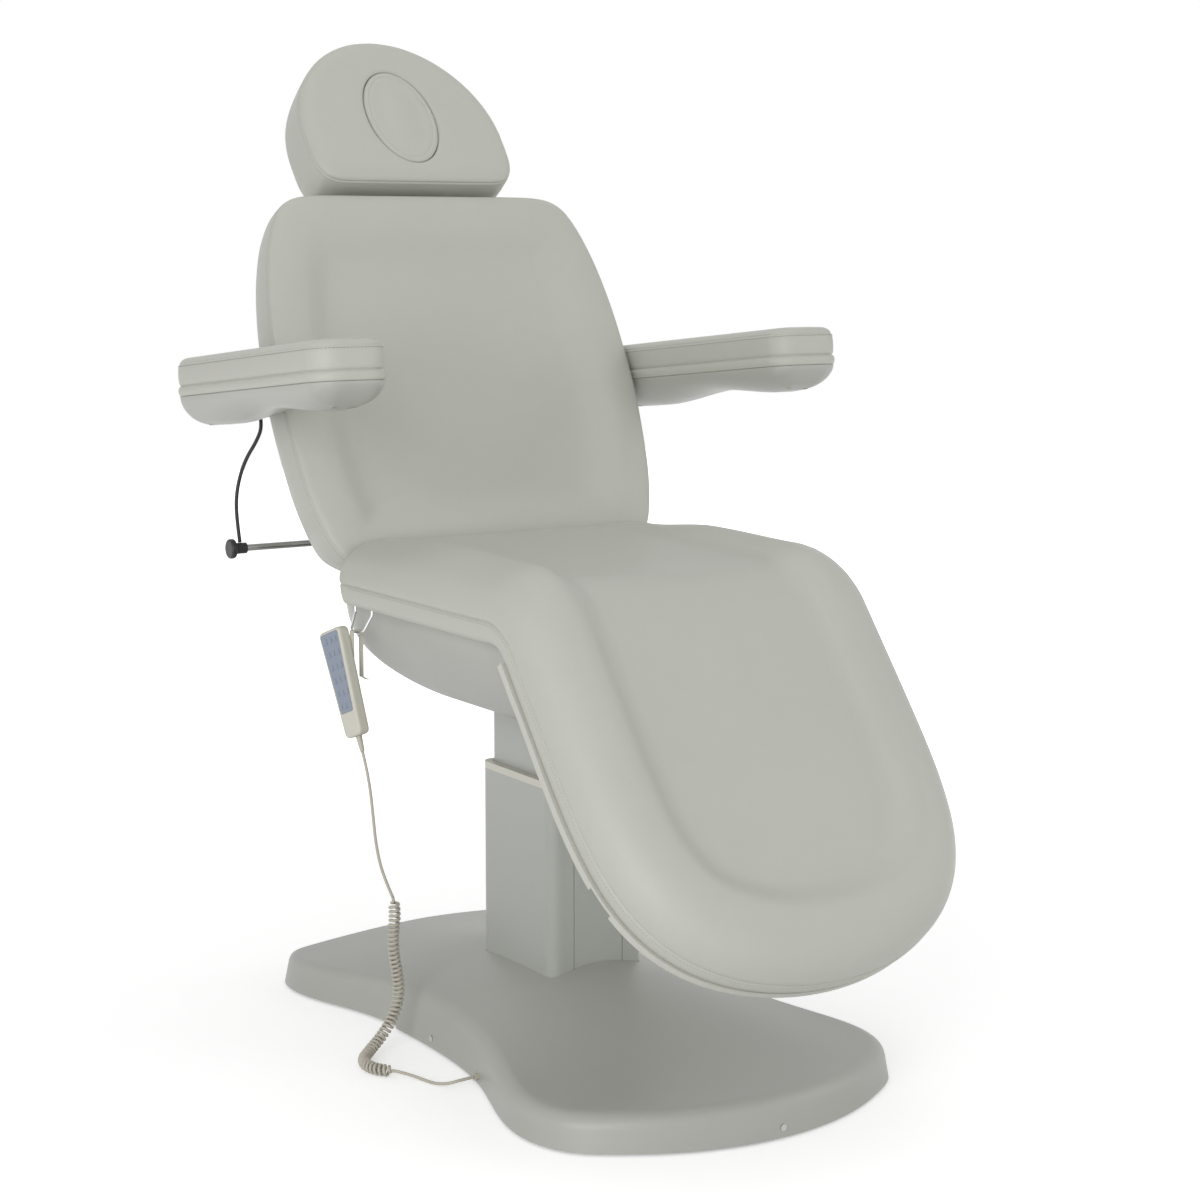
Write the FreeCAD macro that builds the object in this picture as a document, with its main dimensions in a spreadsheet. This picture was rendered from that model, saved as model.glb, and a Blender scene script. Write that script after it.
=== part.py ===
"""Electric treatment chair: lifting column, reclining back, raising leg section, tilting headrest.

Millimetres, +Z up, -Y towards the sitter's feet, +X to the sitter's left.
Places along Y are counted from the axis of the lifting column.
"""
import math
import os

import FreeCAD, Part
import Sketcher

Vec = FreeCAD.Vector
X_AXIS = Vec(1, 0, 0)
Y_AXIS = Vec(0, 1, 0)
Z_AXIS = Vec(0, 0, 1)

SIZES = [
    # Frame of the part
    ("column_y", 18.6, "column axis behind the origin"),
    ("fit_gap", 0.4, "clearance between pieces that slide or nearly touch"),
    ("running_gap", 0.05, "radial clearance of a pin in its bore"),
    # Base
    ("base_front", 591, "column axis to the front of the base"),
    ("base_rear", 486, "column axis to the rear of the base"),
    ("base_front_half", 308, "half width of the front lobe"),
    ("base_waist_half", 236, "half width of the waist"),
    ("base_rear_half", 296, "half width of the rear lobe"),
    ("base_shoulder", 150, "front of the base to its widest place"),
    ("base_corner", 60, "length of the rounded rear corner"),
    ("cover_wall", 4, "wall of the moulded covers"),
    ("cover_lift", 4, "cover edge above the floor"),
    ("cover_rim", 26, "rounding of the cover's upper edge"),
    ("cover_draft", 9, "cover's side drawn in at its upper edge"),
    ("cover_step", 8, "rear cover inside the front one"),
    ("cover_lap", 20, "rear cover under the front one"),
    ("cover_edge_rise", 62, "cover height at its edge"),
    ("cover_crown_rise", 134, "cover height at the column"),
    ("cover_seam_y", 118, "seam between the two covers"),
    ("foot_radius", 26, "levelling foot"),
    ("foot_rise", 16, "height of a levelling foot"),
    ("bar_width", 50, "base frame bar"),
    ("bar_rise", 30, "base frame bar height"),
    ("front_bar_y", 430, "front foot bar, ahead of the column"),
    ("rear_bar_y", 395, "rear foot bar, behind the column"),
    ("front_bar_half", 262, "half length of the front foot bar"),
    ("rear_bar_half", 240, "half length of the rear foot bar"),
    ("foot_inset", 32, "foot centre from the end of its bar"),
    ("spine_x", 62, "spine bars from the middle"),
    ("base_plate_width", 200, "column plate across"),
    ("base_plate_length", 250, "column plate along"),
    ("base_plate_thick", 10, "column plate"),
    ("screw_radius", 5, "cover screw head"),
    ("screw_length", 14, "cover screw"),
    ("screw_z", 18, "cover screw height"),
    ("screw_y", 10, "side screws behind the column's axis"),
    ("control_width", 150, "control box across"),
    ("control_length", 110, "control box along"),
    ("control_rise", 30, "control box height"),
    ("control_y", 260, "control box behind the column"),
    ("inlet_width", 30, "mains inlet across"),
    ("inlet_rise", 24, "mains inlet height"),
    ("inlet_depth", 34, "mains inlet depth"),
    ("inlet_z", 32, "mains inlet centre height"),
    ("gland_radius", 5.5, "cord gland"),
    ("gland_length", 20, "cord gland"),
    ("gland_z", 14, "cord gland height"),
    ("gland_y", -168, "cord gland along the base"),
    # Column
    ("sleeve_width", 172, "outer column across"),
    ("sleeve_length", 216, "outer column along"),
    ("sleeve_corner", 20, "outer column corner"),
    ("sleeve_wall", 4, "outer column wall"),
    ("sleeve_top", 416, "top of the outer column"),
    ("trim_rise", 11, "trim ring on the outer column"),
    ("seam_x", 44.5, "front seams from the middle"),
    ("seam_width", 2, "front seam groove"),
    ("seam_depth", 1.2, "front seam groove depth"),
    ("ram_width", 146, "inner column across"),
    ("ram_length", 190, "inner column along"),
    ("ram_corner", 12, "inner column corner"),
    ("ram_wall", 4, "inner column wall"),
    ("ram_bottom", 152, "bottom of the inner column"),
    ("ram_top", 592, "top of the inner column"),
    ("glide_rise", 30, "glide ring on the inner column"),
    ("lift_radius", 30, "lift actuator tube"),
    ("lift_bore", 23, "lift actuator bore"),
    ("lift_top", 400, "top of the lift actuator tube"),
    ("lift_floor", 8, "floor of the lift actuator tube"),
    ("motor_width", 56, "lift motor across"),
    ("motor_length", 56, "lift motor along"),
    ("motor_rise", 120, "lift motor height"),
    ("spindle_radius", 22, "lift spindle tube"),
    ("spindle_bottom", 166, "bottom of the lift spindle"),
    # Seat
    ("head_plate_width", 190, "plate on the inner column, across"),
    ("head_plate_length", 250, "plate on the inner column, along"),
    ("head_plate_thick", 8, "plate on the inner column"),
    ("post_x", 60, "frame posts from the middle"),
    ("post_y", 80, "frame posts from the column axis"),
    ("post_size", 40, "frame posts and cross tubes"),
    ("rail_x", 215, "seat rails from the middle"),
    ("rail_width", 30, "seat rail"),
    ("rail_rise", 40, "seat rail height"),
    ("board_bottom", 690, "underside of the seat board"),
    ("board_thick", 12, "seat, back and leg boards"),
    ("seat_half", 306, "half width of the seat and leg cushions"),
    ("board_inset", 8, "seat board inside its cushion"),
    ("seat_seam_rise", 20, "seam on the seat's side above its board"),
    ("seat_rise", 96, "seat's side rolls above its board"),
    ("seat_back_gap", 2.5, "seat cushion before the front plane of the back"),
    ("seat_dish", 18, "depth of the dished middle"),
    ("roll_x", 226, "top of the side rolls from the middle"),
    ("dish_x", 150, "edge of the dished middle"),
    ("seat_rear_drop", 10, "seat cushion lower at the back"),
    ("knee_y", -280, "leg hinge axis"),
    ("knee_z", 630, "leg hinge axis height"),
    ("knee_gap", 4, "seat and leg cushions from the hinge plane"),
    # Belly cover
    ("belly_wall", 3.5, "belly cover wall"),
    ("belly_bottom", 530, "lowest part of the belly cover"),
    ("belly_out", 44, "top of the belly cover outside the seat rails"),
    ("belly_rear", 316, "rear end behind the column"),
    ("belly_front", -380, "front end of the belly's rounded form"),
    ("belly_open", -277, "open front end of the belly cover"),
    ("belly_corner", 150, "rounding in plan"),
    ("belly_notch_y", 222, "the rim is lower behind here"),
    ("belly_notch_z", 652, "height of the lower rim"),
    # Back
    ("back_y", 246, "back hinge axis"),
    ("back_z", 696, "back hinge axis height"),
    ("back_recline", 23.8, "back from the vertical, degrees"),
    ("back_face", 89.4, "front plane of the back before the hinge"),
    ("back_start", 10, "lower end of the back above the hinge"),
    ("back_end", 650, "upper end of the back above the hinge"),
    ("back_thick", 98, "thickness of the back"),
    ("back_half", 332, "half width of the back where it is widest"),
    ("back_draw", 12, "sides of the back drawn in at the rear"),
    ("back_board_half", 236, "half width of the back board"),
    ("back_dish", 20, "depth of the dished middle of the back"),
    ("back_board_inset", 22, "back board from the ends of its cushion"),
    ("back_tube", 22, "back frame tube depth"),
    ("back_tube_width", 30, "back frame tube width"),
    ("back_tube_x", 180, "back frame tubes from the middle"),
    ("hinge_radius", 15, "hinge tubes"),
    ("pin_radius", 8, "hinge pins"),
    ("lug_thick", 10, "hinge lugs"),
    ("lug_radius", 17, "round end of a hinge lug"),
    # Actuators
    ("back_lever", 80, "back lever arm"),
    ("leg_lever", 70, "leg lever arm"),
    ("lever_x", 105, "actuators from the middle"),
    ("lever_thick", 8, "lever plates"),
    ("crank_radius", 6, "lever pins"),
    ("ram_rod_radius", 8, "actuator rods"),
    ("jacket_radius", 13, "actuator jackets"),
    ("jacket_length", 220, "actuator jackets"),
    ("yoke_width", 16, "slotted rod ends across"),
    ("yoke_slack", 1.5, "play of a lever pin in its slot"),
    ("back_travel", 66, "back reclines this far, degrees"),
    ("leg_travel", 51, "leg rises this far, degrees"),
    # Leg
    ("leg_drop", 51.5, "leg below the level, degrees"),
    ("leg_length", 553, "hinge axis to the end of the leg"),
    ("leg_board_low", 63, "underside of the leg board above the hinge axis"),
    ("leg_crest", 168, "top of the leg's side rolls above the hinge axis"),
    ("leg_square", 60, "hinge axis to where the leg starts to narrow"),
    ("leg_power", 4.7, "how late the leg narrows"),
    ("leg_end_half", 40, "half width of the flat at the very end"),
    ("leg_tube", 22, "leg frame tube"),
    ("leg_tube_x", 180, "leg frame tubes from the middle"),
    ("leg_frame_short", 83, "leg frame shorter than the leg"),
    ("notch_from_end", 203, "edge notch of the leg board before the leg's end"),
    ("notch_length", 44, "edge notch of the leg board"),
    ("notch_depth", 7, "edge notch of the leg board"),
    # Headrest
    ("head_hinge_up", 640, "headrest hinge above the back hinge"),
    ("head_recline", 37, "headrest from the vertical, degrees"),
    ("head_face", 116, "headrest face before its hinge"),
    ("head_start", 10, "lower end of the headrest above its hinge"),
    ("head_length", 298, "headrest height"),
    ("head_half", 188, "half width of the headrest"),
    ("head_thick", 96, "thickness of the headrest"),
    ("head_wide_at", 100, "widest place of the headrest above its lower end"),
    ("head_board_half", 165, "headrest board across"),
    ("head_board_rise", 127, "headrest board, half its height"),
    ("head_bar_x", 70, "headrest bars from the middle"),
    ("head_bar_width", 30, "headrest bars"),
    ("head_bar_thick", 6, "headrest bars"),
    ("head_bar_length", 124, "headrest bars"),
    ("guide_length", 90, "headrest guides"),
    ("guide_wall", 4, "headrest guides"),
    ("plug_half_width", 65, "face plug"),
    ("plug_half_height", 97, "face plug"),
    ("plug_middle", 130, "middle of the face plug above the headrest's lower end"),
    ("plug_draft", 6, "face plug narrower at the back"),
    # Arms
    ("arm_inner", 345, "inner side of an armrest from the middle"),
    ("arm_width", 124, "armrest"),
    ("arm_length", 528, "armrest"),
    ("arm_tilt", 5.5, "armrest nose up, degrees"),
    ("arm_up", 328, "armrest pivot above the back hinge"),
    ("arm_pivot_tail", 36, "armrest pivot before its rear end"),
    ("arm_pivot_drop", 70, "armrest pivot below the pad's top"),
    ("arm_corner", 42, "armrest corner in plan"),
    ("pad_thick", 45, "armrest pad"),
    ("pad_crown", 10, "rounding of the pad's top"),
    ("bead_thick", 16, "armrest rim"),
    ("bead_swell", 2, "armrest rim outside the pad"),
    ("shell_tail", 47, "armrest shell depth near its tail"),
    ("shell_middle", 30, "armrest shell depth in its middle"),
    ("shell_nose", 40, "armrest shell depth near its nose"),
    ("arm_pin_radius", 7, "armrest pivot pin"),
    ("arm_pin_reach", 34, "armrest pivot pin inside the armrest"),
    ("arm_boss_radius", 9, "round pad of the bracket at the pivot pin"),
    ("bracket_thick", 10, "armrest brackets"),
    ("bracket_width", 40, "armrest brackets"),
    ("bracket_x", 335, "armrest bracket ear from the middle"),
    ("ear_thick", 6, "armrest bracket ear"),
    # Paper roll rod
    ("roll_y", 386, "roll rod behind the column"),
    ("roll_z", 757, "roll rod height"),
    ("roll_half", 380, "half length of the roll rod"),
    ("roll_radius", 6, "roll rod"),
    ("disc_radius", 16, "end disc"),
    ("disc_thick", 10, "end disc"),
    ("roll_cord_radius", 3, "cords of the roll rod"),
    # Handset
    ("handset_out", 15, "middle of the handset outside the seat's side"),
    ("handset_y", 111, "middle of the handset"),
    ("handset_z", 575, "middle of the handset"),
    ("handset_turn", -80, "handset about the upright, degrees"),
    ("handset_lean", 21, "handset in its own plane, degrees"),
    ("handset_length", 170, "handset"),
    ("handset_top_half", 28, "half width at the top"),
    ("handset_low_half", 21, "half width at the bottom"),
    ("handset_front", 11, "front shell thickness"),
    ("handset_rear", 9, "rear shell thickness"),
    ("handset_corner", 9, "handset corner"),
    ("keypad_inset", 5, "keypad inside the case"),
    ("keypad_thick", 1.2, "keypad membrane"),
    ("key_rows", 6, "rows of keys"),
    ("key_rise", 0.6, "raised keys"),
    ("hook_wire", 2, "hook wire radius"),
    ("clip_gap", 8, "hook wire from the clip's straps"),
    ("clip_leg", 70, "outer leg of the clip below the hook wire"),
    ("clip_kick", 12, "bent end of the clip's outer leg"),
    ("relief_radius", 5, "strain relief"),
    ("relief_length", 24, "strain relief"),
    ("cord_radius", 2.4, "handset cord"),
    ("curl_radius", 7.2, "curl, wire centre from the cord's line"),
    ("curl_turns", 50, "curls"),
]

doc = FreeCAD.newDocument("treatment_chair")
dims = doc.addObject("Spreadsheet::Sheet", "dims")


class Sizes:
    """The sheet's values, by alias."""


size = Sizes()
for row, (alias, value, note) in enumerate(SIZES, start=1):
    dims.set(f"A{row}", note)
    dims.set(f"B{row}", str(value))
    dims.setAlias(f"B{row}", alias)
doc.recompute()
for alias, value, note in SIZES:
    setattr(size, alias, float(dims.get(alias)))

NODES = []


def node(obj, label):
    """Name an object and list it as a piece of the chair."""
    obj.Label = label
    NODES.append(obj)
    return obj


def bind(obj, **links):
    """Tie properties to the sheet; a dot in a property's path is written as two underscores."""
    for path, text in links.items():
        obj.setExpression(path.replace("__", "."), text)
    return obj


def feature(label, shape, placement=None):
    """A piece whose shape is made directly."""
    obj = doc.addObject("Part::Feature", label)
    obj.Shape = shape
    if placement is not None:
        obj.Placement = placement
    return node(obj, label)


def block(name, length, width, height, x, y, z):
    """A box from its sizes and its low corner, all expressions."""
    obj = doc.addObject("Part::Box", name)
    return bind(obj, Length=length, Width=width, Height=height,
                Placement__Base__x=x, Placement__Base__y=y, Placement__Base__z=z)


def rod(name, radius, height, x, y, z, axis=Z_AXIS):
    """A cylinder along an axis, from expressions."""
    obj = doc.addObject("Part::Cylinder", name)
    obj.Placement = FreeCAD.Placement(Vec(), FreeCAD.Rotation(Z_AXIS, axis))
    return bind(obj, Radius=radius, Height=height,
                Placement__Base__x=x, Placement__Base__y=y, Placement__Base__z=z)


def fuse(label, parts):
    """A weldment of several solids."""
    obj = doc.addObject("Part::MultiFuse", label)
    obj.Shapes = parts
    obj.Refine = True
    return obj


def cut(label, base, tool):
    obj = doc.addObject("Part::Cut", label)
    obj.Base = base
    obj.Tool = tool
    return obj


def group(label, parts):
    """Loose pieces of one kind in one node."""
    obj = doc.addObject("Part::Compound", label)
    obj.Links = parts
    return node(obj, label)


def origin_plane(body, role):
    for item in body.Origin.OriginFeatures:
        if item.Role == role:
            return item
    raise ValueError(role)


def rectangle(sketch, width, height, middle_x="0", middle_y="0"):
    """A closed rectangle in a sketch, its sizes and middle tied to the sheet."""
    first = sketch.GeometryCount
    corners = [Vec(-10, -10, 0), Vec(10, -10, 0), Vec(10, 10, 0), Vec(-10, 10, 0)]
    for start, end in zip(corners, corners[1:] + corners[:1]):
        sketch.addGeometry(Part.LineSegment(start, end))
    low, right, top, left = range(first, first + 4)
    for line, after in ((low, right), (right, top), (top, left), (left, low)):
        sketch.addConstraint(Sketcher.Constraint("Coincident", line, 2, after, 1))
    sketch.addConstraint(Sketcher.Constraint("Horizontal", low))
    sketch.addConstraint(Sketcher.Constraint("Horizontal", top))
    sketch.addConstraint(Sketcher.Constraint("Vertical", right))
    sketch.addConstraint(Sketcher.Constraint("Vertical", left))
    links = (
        ("DistanceX", (low, 1, low, 2), width),
        ("DistanceY", (right, 1, right, 2), height),
        ("DistanceX", (-1, 1, low, 2), f"({middle_x}) + ({width}) / 2"),
        ("DistanceY", (-1, 1, right, 2), f"({middle_y}) + ({height}) / 2"),
    )
    for kind, where, text in links:
        number = sketch.addConstraint(Sketcher.Constraint(kind, *where, 20.0))
        sketch.setExpression(f"Constraints[{number}]", text)


def new_sketch(body, name, role="XY_Plane"):
    sketch = body.newObject("Sketcher::SketchObject", name)
    sketch.AttachmentSupport = [(origin_plane(body, role), "")]
    sketch.MapMode = "FlatFace"
    return sketch


def upright_edges(shape, reach):
    """Names of a shape's edges along Z that are at least as long as reach."""
    names = []
    for number, edge in enumerate(shape.Edges, start=1):
        along = edge.Vertexes[-1].Point - edge.Vertexes[0].Point
        if abs(along.z) > reach and abs(along.x) + abs(along.y) < 1e-6:
            names.append((f"Edge{number}", edge.CenterOfMass))
    return names


def tube_body(label, width, length, wall, height, bottom, corner):
    """An upright rectangular tube with rounded corners on the column axis."""
    body = doc.addObject("PartDesign::Body", label)
    profile = new_sketch(body, label + "_profile")
    rectangle(profile, width, length)
    rectangle(profile, f"{width} - 2 * {wall}", f"{length} - 2 * {wall}")
    pad = body.newObject("PartDesign::Pad", label + "_pad")
    pad.Profile = profile
    bind(pad, Length=height)
    doc.recompute()
    outer_x = pad.Shape.BoundBox.XMax
    outer = [name for name, point in upright_edges(pad.Shape, 1) if abs(point.x) > outer_x - 1e-3]
    rounded = body.newObject("PartDesign::Fillet", label + "_outer")
    rounded.Base = (pad, outer)
    bind(rounded, Radius=corner)
    doc.recompute()
    outer_y = pad.Shape.BoundBox.YMax
    inner = [name for name, point in upright_edges(rounded.Shape, 1)
             if abs(point.x) < outer_x - 1e-3 and abs(point.y) < outer_y - 1e-3]
    hollow = body.newObject("PartDesign::Fillet", label + "_inner")
    hollow.Base = (rounded, inner)
    bind(hollow, Radius=f"max({corner} - {wall}; 1)")
    body.Tip = hollow
    bind(body, Placement__Base__y="dims.column_y", Placement__Base__z=bottom)
    return node(body, label)


def at(x, y, z):
    """A point given from the column axis."""
    return Vec(x, y + size.column_y, z)


def loop(points_and_arcs):
    """A closed wire from (start, end) lines and (start, middle, end) arcs."""
    edges = []
    for item in points_and_arcs:
        if len(item) == 2:
            edges.append(Part.LineSegment(*item).toShape())
        else:
            edges.append(Part.Arc(*item).toShape())
    return Part.Wire(edges)


def rounded_loop(half_x, low_y, high_y, corner, z):
    """A level rounded rectangle, even about X."""
    side = corner * (1 - math.sqrt(0.5))
    x, near, far = half_x - corner, low_y + corner, high_y - corner
    place = lambda px, py: Vec(px, py, z)
    return loop([
        (place(-x, low_y), place(x, low_y)),
        (place(x, low_y), place(half_x - side, low_y + side), place(half_x, near)),
        (place(half_x, near), place(half_x, far)),
        (place(half_x, far), place(half_x - side, high_y - side), place(x, high_y)),
        (place(x, high_y), place(-x, high_y)),
        (place(-x, high_y), place(-half_x + side, high_y - side), place(-half_x, far)),
        (place(-half_x, far), place(-half_x, near)),
        (place(-half_x, near), place(-half_x + side, low_y + side), place(-x, low_y)),
    ])


def pillow_loop(place, half, low, side, crest, dish, crest_x, dish_x, draw=0):
    """One cross section of a cushion: flat underside, upright sides, side rolls, dished middle.

    place turns (across, height) into a point; draw pulls the sides in at the underside.
    """
    foot = half - draw
    bow = math.sqrt(0.5)
    corner = (crest_x + (half - crest_x) * bow, side + (crest - side) * bow)
    slope = (0.5 * (crest_x + dish_x), 0.5 * (crest + dish) + 0.12 * (crest - dish))
    middle = dish - 0.15 * (crest - dish)
    swell = (half + 2 - 0.25 * draw, 0.5 * (low + side))
    right = lambda px, pz: place(px, pz)
    left = lambda px, pz: place(-px, pz)
    return loop([
        (left(foot, low), right(foot, low)),
        (right(foot, low), right(*swell), right(half, side)),
        (right(half, side), right(*corner), right(crest_x, crest)),
        (right(crest_x, crest), right(*slope), right(dish_x, dish)),
        (right(dish_x, dish), right(0, middle), left(dish_x, dish)),
        (left(dish_x, dish), left(*slope), left(crest_x, crest)),
        (left(crest_x, crest), left(*corner), left(half, side)),
        (left(half, side), left(*swell), left(foot, low)),
    ])


def loft(loops):
    return Part.makeLoft(loops, True, False)


def cylinder_x(radius, start, end, y, z):
    """A cylinder along X between two places."""
    return Part.makeCylinder(radius, end - start, Vec(start, y, z), X_AXIS)


def bar(x0, x1, y0, y1, z0, z1):
    """A box between two corners."""
    return Part.makeBox(x1 - x0, y1 - y0, z1 - z0, Vec(x0, y0, z0))


def joined(shapes):
    """Several touching or crossing solids as one."""
    return shapes[0].multiFuse(shapes[1:]).removeSplitter()


def cord_wire(points, share=0.45):
    """Straight runs joined by tangent arcs, as large as the runs allow; also the least radius."""
    edges = []
    radii = []
    start = points[0]
    for before, corner, after in zip(points, points[1:], points[2:]):
        back = before - corner
        ahead = after - corner
        reach = share * min(back.Length, ahead.Length)
        back.normalize()
        ahead.normalize()
        turn = math.pi - back.getAngle(ahead)
        radius = reach / math.tan(0.5 * turn)
        inward = back + ahead
        inward.normalize()
        centre = corner + inward * (radius / math.cos(0.5 * turn))
        first = corner + back * reach
        last = corner + ahead * reach
        edges.append(Part.LineSegment(start, first).toShape())
        edges.append(Part.Arc(first, centre - inward * radius, last).toShape())
        radii.append(radius)
        start = last
    edges.append(Part.LineSegment(start, points[-1]).toShape())
    return Part.Wire(edges), radii


def tube_along(wire, radius):
    """A round tube along a wire, in the default pipe mode."""
    first = wire.Edges[0]
    start = first.valueAt(first.FirstParameter)
    along = first.tangentAt(first.FirstParameter)
    ring = Part.Wire([Part.Circle(start, along, radius).toShape()])
    shell = Part.BRepOffsetAPI.MakePipeShell(wire)
    shell.add(ring)
    shell.build()
    shell.makeSolid()
    return shell.shape()


def cord(label, points, radius):
    """A plain cord stretch, with its bend radii and volume printed."""
    wire, radii = cord_wire(points)
    solid = tube_along(wire, radius)
    expected = math.pi * radius ** 2 * wire.Length
    print(f"{label}: length {wire.Length:.0f} radii {[round(r) for r in radii]} "
          f"volume ratio {solid.Volume / expected:.4f}")
    return feature(label, solid)


# Base: frame, feet, covers
bar_low = "dims.foot_rise"
plate_low = "dims.foot_rise + dims.bar_rise"
front_bar = block("front_bar", "2 * dims.front_bar_half", "dims.bar_width", "dims.bar_rise",
                  "-dims.front_bar_half", "dims.column_y - dims.front_bar_y - dims.bar_width / 2", bar_low)
rear_bar = block("rear_bar", "2 * dims.rear_bar_half", "dims.bar_width", "dims.bar_rise",
                 "-dims.rear_bar_half", "dims.column_y + dims.rear_bar_y - dims.bar_width / 2", bar_low)
spines = []
for side in (-1, 1):
    spines.append(block(f"spine_{side + 1}", "dims.bar_width", "dims.front_bar_y + dims.rear_bar_y",
                        "dims.bar_rise", f"{side} * dims.spine_x - dims.bar_width / 2",
                        "dims.column_y - dims.front_bar_y", bar_low))
column_plate = block("column_plate", "dims.base_plate_width", "dims.base_plate_length",
                     "dims.base_plate_thick", "-dims.base_plate_width / 2",
                     "dims.column_y - dims.base_plate_length / 2", plate_low)
node(fuse("base_frame", [front_bar, rear_bar, *spines, column_plate]), "base_frame")

feet = []
for end, bar_half, bar_y in (("front", "front_bar_half", "-dims.front_bar_y"),
                             ("rear", "rear_bar_half", "dims.rear_bar_y")):
    for side in (-1, 1):
        feet.append(rod(f"foot_{end}_{side + 1}", "dims.foot_radius", "dims.foot_rise",
                        f"{side} * (dims.{bar_half} - dims.foot_inset)", f"dims.column_y + {bar_y}", "0"))
group("base_feet", feet)


def smooth_curve(points, start_way, end_way):
    """One smooth line through points, with the directions at its two ends given."""
    lengths = [0.0]
    for before, after in zip(points, points[1:]):
        lengths.append(lengths[-1] + (after - before).Length)
    curve = Part.BSplineCurve()
    curve.interpolate(Points=points, Parameters=lengths, InitialTangent=start_way, FinalTangent=end_way,
                      Scale=False)
    return curve.toShape()


def base_outline(inset, z):
    """The base in plan: rounded front, drawn-in waist, wide rear; one smooth line down each side."""
    half = size.base_front_half - inset
    waist = size.base_waist_half - inset
    rear_half = size.base_rear_half - inset
    front = -size.base_front + inset
    rear = size.base_rear - inset
    shoulder = -size.base_front + size.base_shoulder
    corner = size.base_corner
    flank = [
        (0, front),
        (0.49 * half, front + 0.05 * size.base_front),
        (0.76 * half, front + 0.125 * size.base_front),
        (0.92 * half, front + 0.195 * size.base_front),
        (0.99 * half, shoulder + 12),
        (waist + 0.3 * (half - waist), 0.42 * shoulder),
        (waist, 0),
        (waist + 0.42 * (rear_half - waist), 0.5 * rear),
        (rear_half, rear - corner),
        (rear_half - 0.3 * corner, rear - 0.3 * corner - 4),
        (rear_half - corner, rear - 8),
        (0, rear),
    ]
    right = smooth_curve([at(px, py, z) for px, py in flank], X_AXIS, -X_AXIS)
    left = smooth_curve([at(-px, py, z) for px, py in reversed(flank)], -X_AXIS, X_AXIS)
    return Part.Wire([right, left])


def cover_crown(drop):
    """The space under the covers' crowned top."""
    edge = size.cover_edge_rise - drop
    crown = size.cover_crown_rise - drop
    reach = size.base_front_half + size.cover_rim
    stations = (
        (size.base_rear + 20, edge, edge + 0.16 * (crown - edge)),
        (0.55 * size.base_rear, edge + 6, edge + 0.55 * (crown - edge)),
        (0, edge + 6, crown),
        (-0.24 * size.base_front, edge + 2, edge + 0.96 * (crown - edge)),
        (-0.6 * size.base_front, edge - 4, edge + 0.5 * (crown - edge)),
        (-size.base_front - 20, edge - 8, edge),
    )
    swell = ((1, 0), (0.55, 0.3), (0.24, 0.8), (0, 1), (-0.24, 0.8), (-0.55, 0.3), (-1, 0))
    loops = []
    for y, low, high in stations:
        left_floor, right_floor = at(-reach, y, -size.cover_rim), at(reach, y, -size.cover_rim)
        crest_points = [at(wide * reach, y, low + rise * (high - low)) for wide, rise in swell]
        crest = Part.BSplineCurve()
        crest.interpolate(crest_points)
        loops.append(Part.Wire([
            Part.LineSegment(left_floor, right_floor).toShape(),
            Part.LineSegment(right_floor, crest_points[0]).toShape(),
            crest.toShape(),
            Part.LineSegment(crest_points[-1], left_floor).toShape(),
        ]))
    return loft(loops)


def cover_space(inset, low):
    """The form of the covers at an inset from the outside: drafted sides under the crowned top."""
    height = 2 * size.cover_crown_rise
    draft = size.cover_draft * height / size.cover_edge_rise
    prism = Part.makeLoft([base_outline(inset, low), base_outline(inset + draft, low + height)], True, True)
    body = prism.common(cover_crown(inset)).Solids[0]
    top_edges = []
    for edge in body.Edges:
        box = edge.BoundBox
        if box.ZMin > low + 1 and box.ZLength < 0.5 * size.cover_crown_rise:
            top_edges.append(edge)
    return body.makeFillet(size.cover_rim - inset, top_edges)


def cover_shell(inset):
    """The moulded wall of a cover, open below."""
    inner = inset + size.cover_wall
    return cover_space(inset, size.cover_lift).cut(cover_space(inner, size.cover_lift - size.cover_wall))


front_form = cover_shell(0)
rear_form = cover_shell(size.cover_step)
far = 2 * size.base_front
seam = size.cover_seam_y
front_space = bar(-far, far, size.column_y - far, size.column_y + seam, -far, far)
rear_space = bar(-far, far, size.column_y + seam - size.cover_lap, size.column_y + far, -far, far)
column_hole = Part.Face(rounded_loop(0.5 * size.sleeve_width + size.fit_gap,
                                     size.column_y - 0.5 * size.sleeve_length - size.fit_gap,
                                     size.column_y + 0.5 * size.sleeve_length + size.fit_gap,
                                     size.sleeve_corner, 0)).extrude(Vec(0, 0, far))
inlet_low = size.inlet_z - 0.5 * size.inlet_rise
inlet_y = size.column_y + size.base_rear - size.cover_step - 0.5 * size.cover_draft - size.inlet_depth + 1
inlet_box = bar(-0.5 * size.inlet_width, 0.5 * size.inlet_width, inlet_y, inlet_y + size.inlet_depth + 1,
                inlet_low, inlet_low + size.inlet_rise)


def cover_side(start, way):
    """The outermost place of the front cover on a line from inside it."""
    line = Part.LineSegment(start, start + way * far).toShape()
    return max((v.Point for v in front_form.common(line).Vertexes), key=lambda point: (point - start).dot(way))


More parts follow.
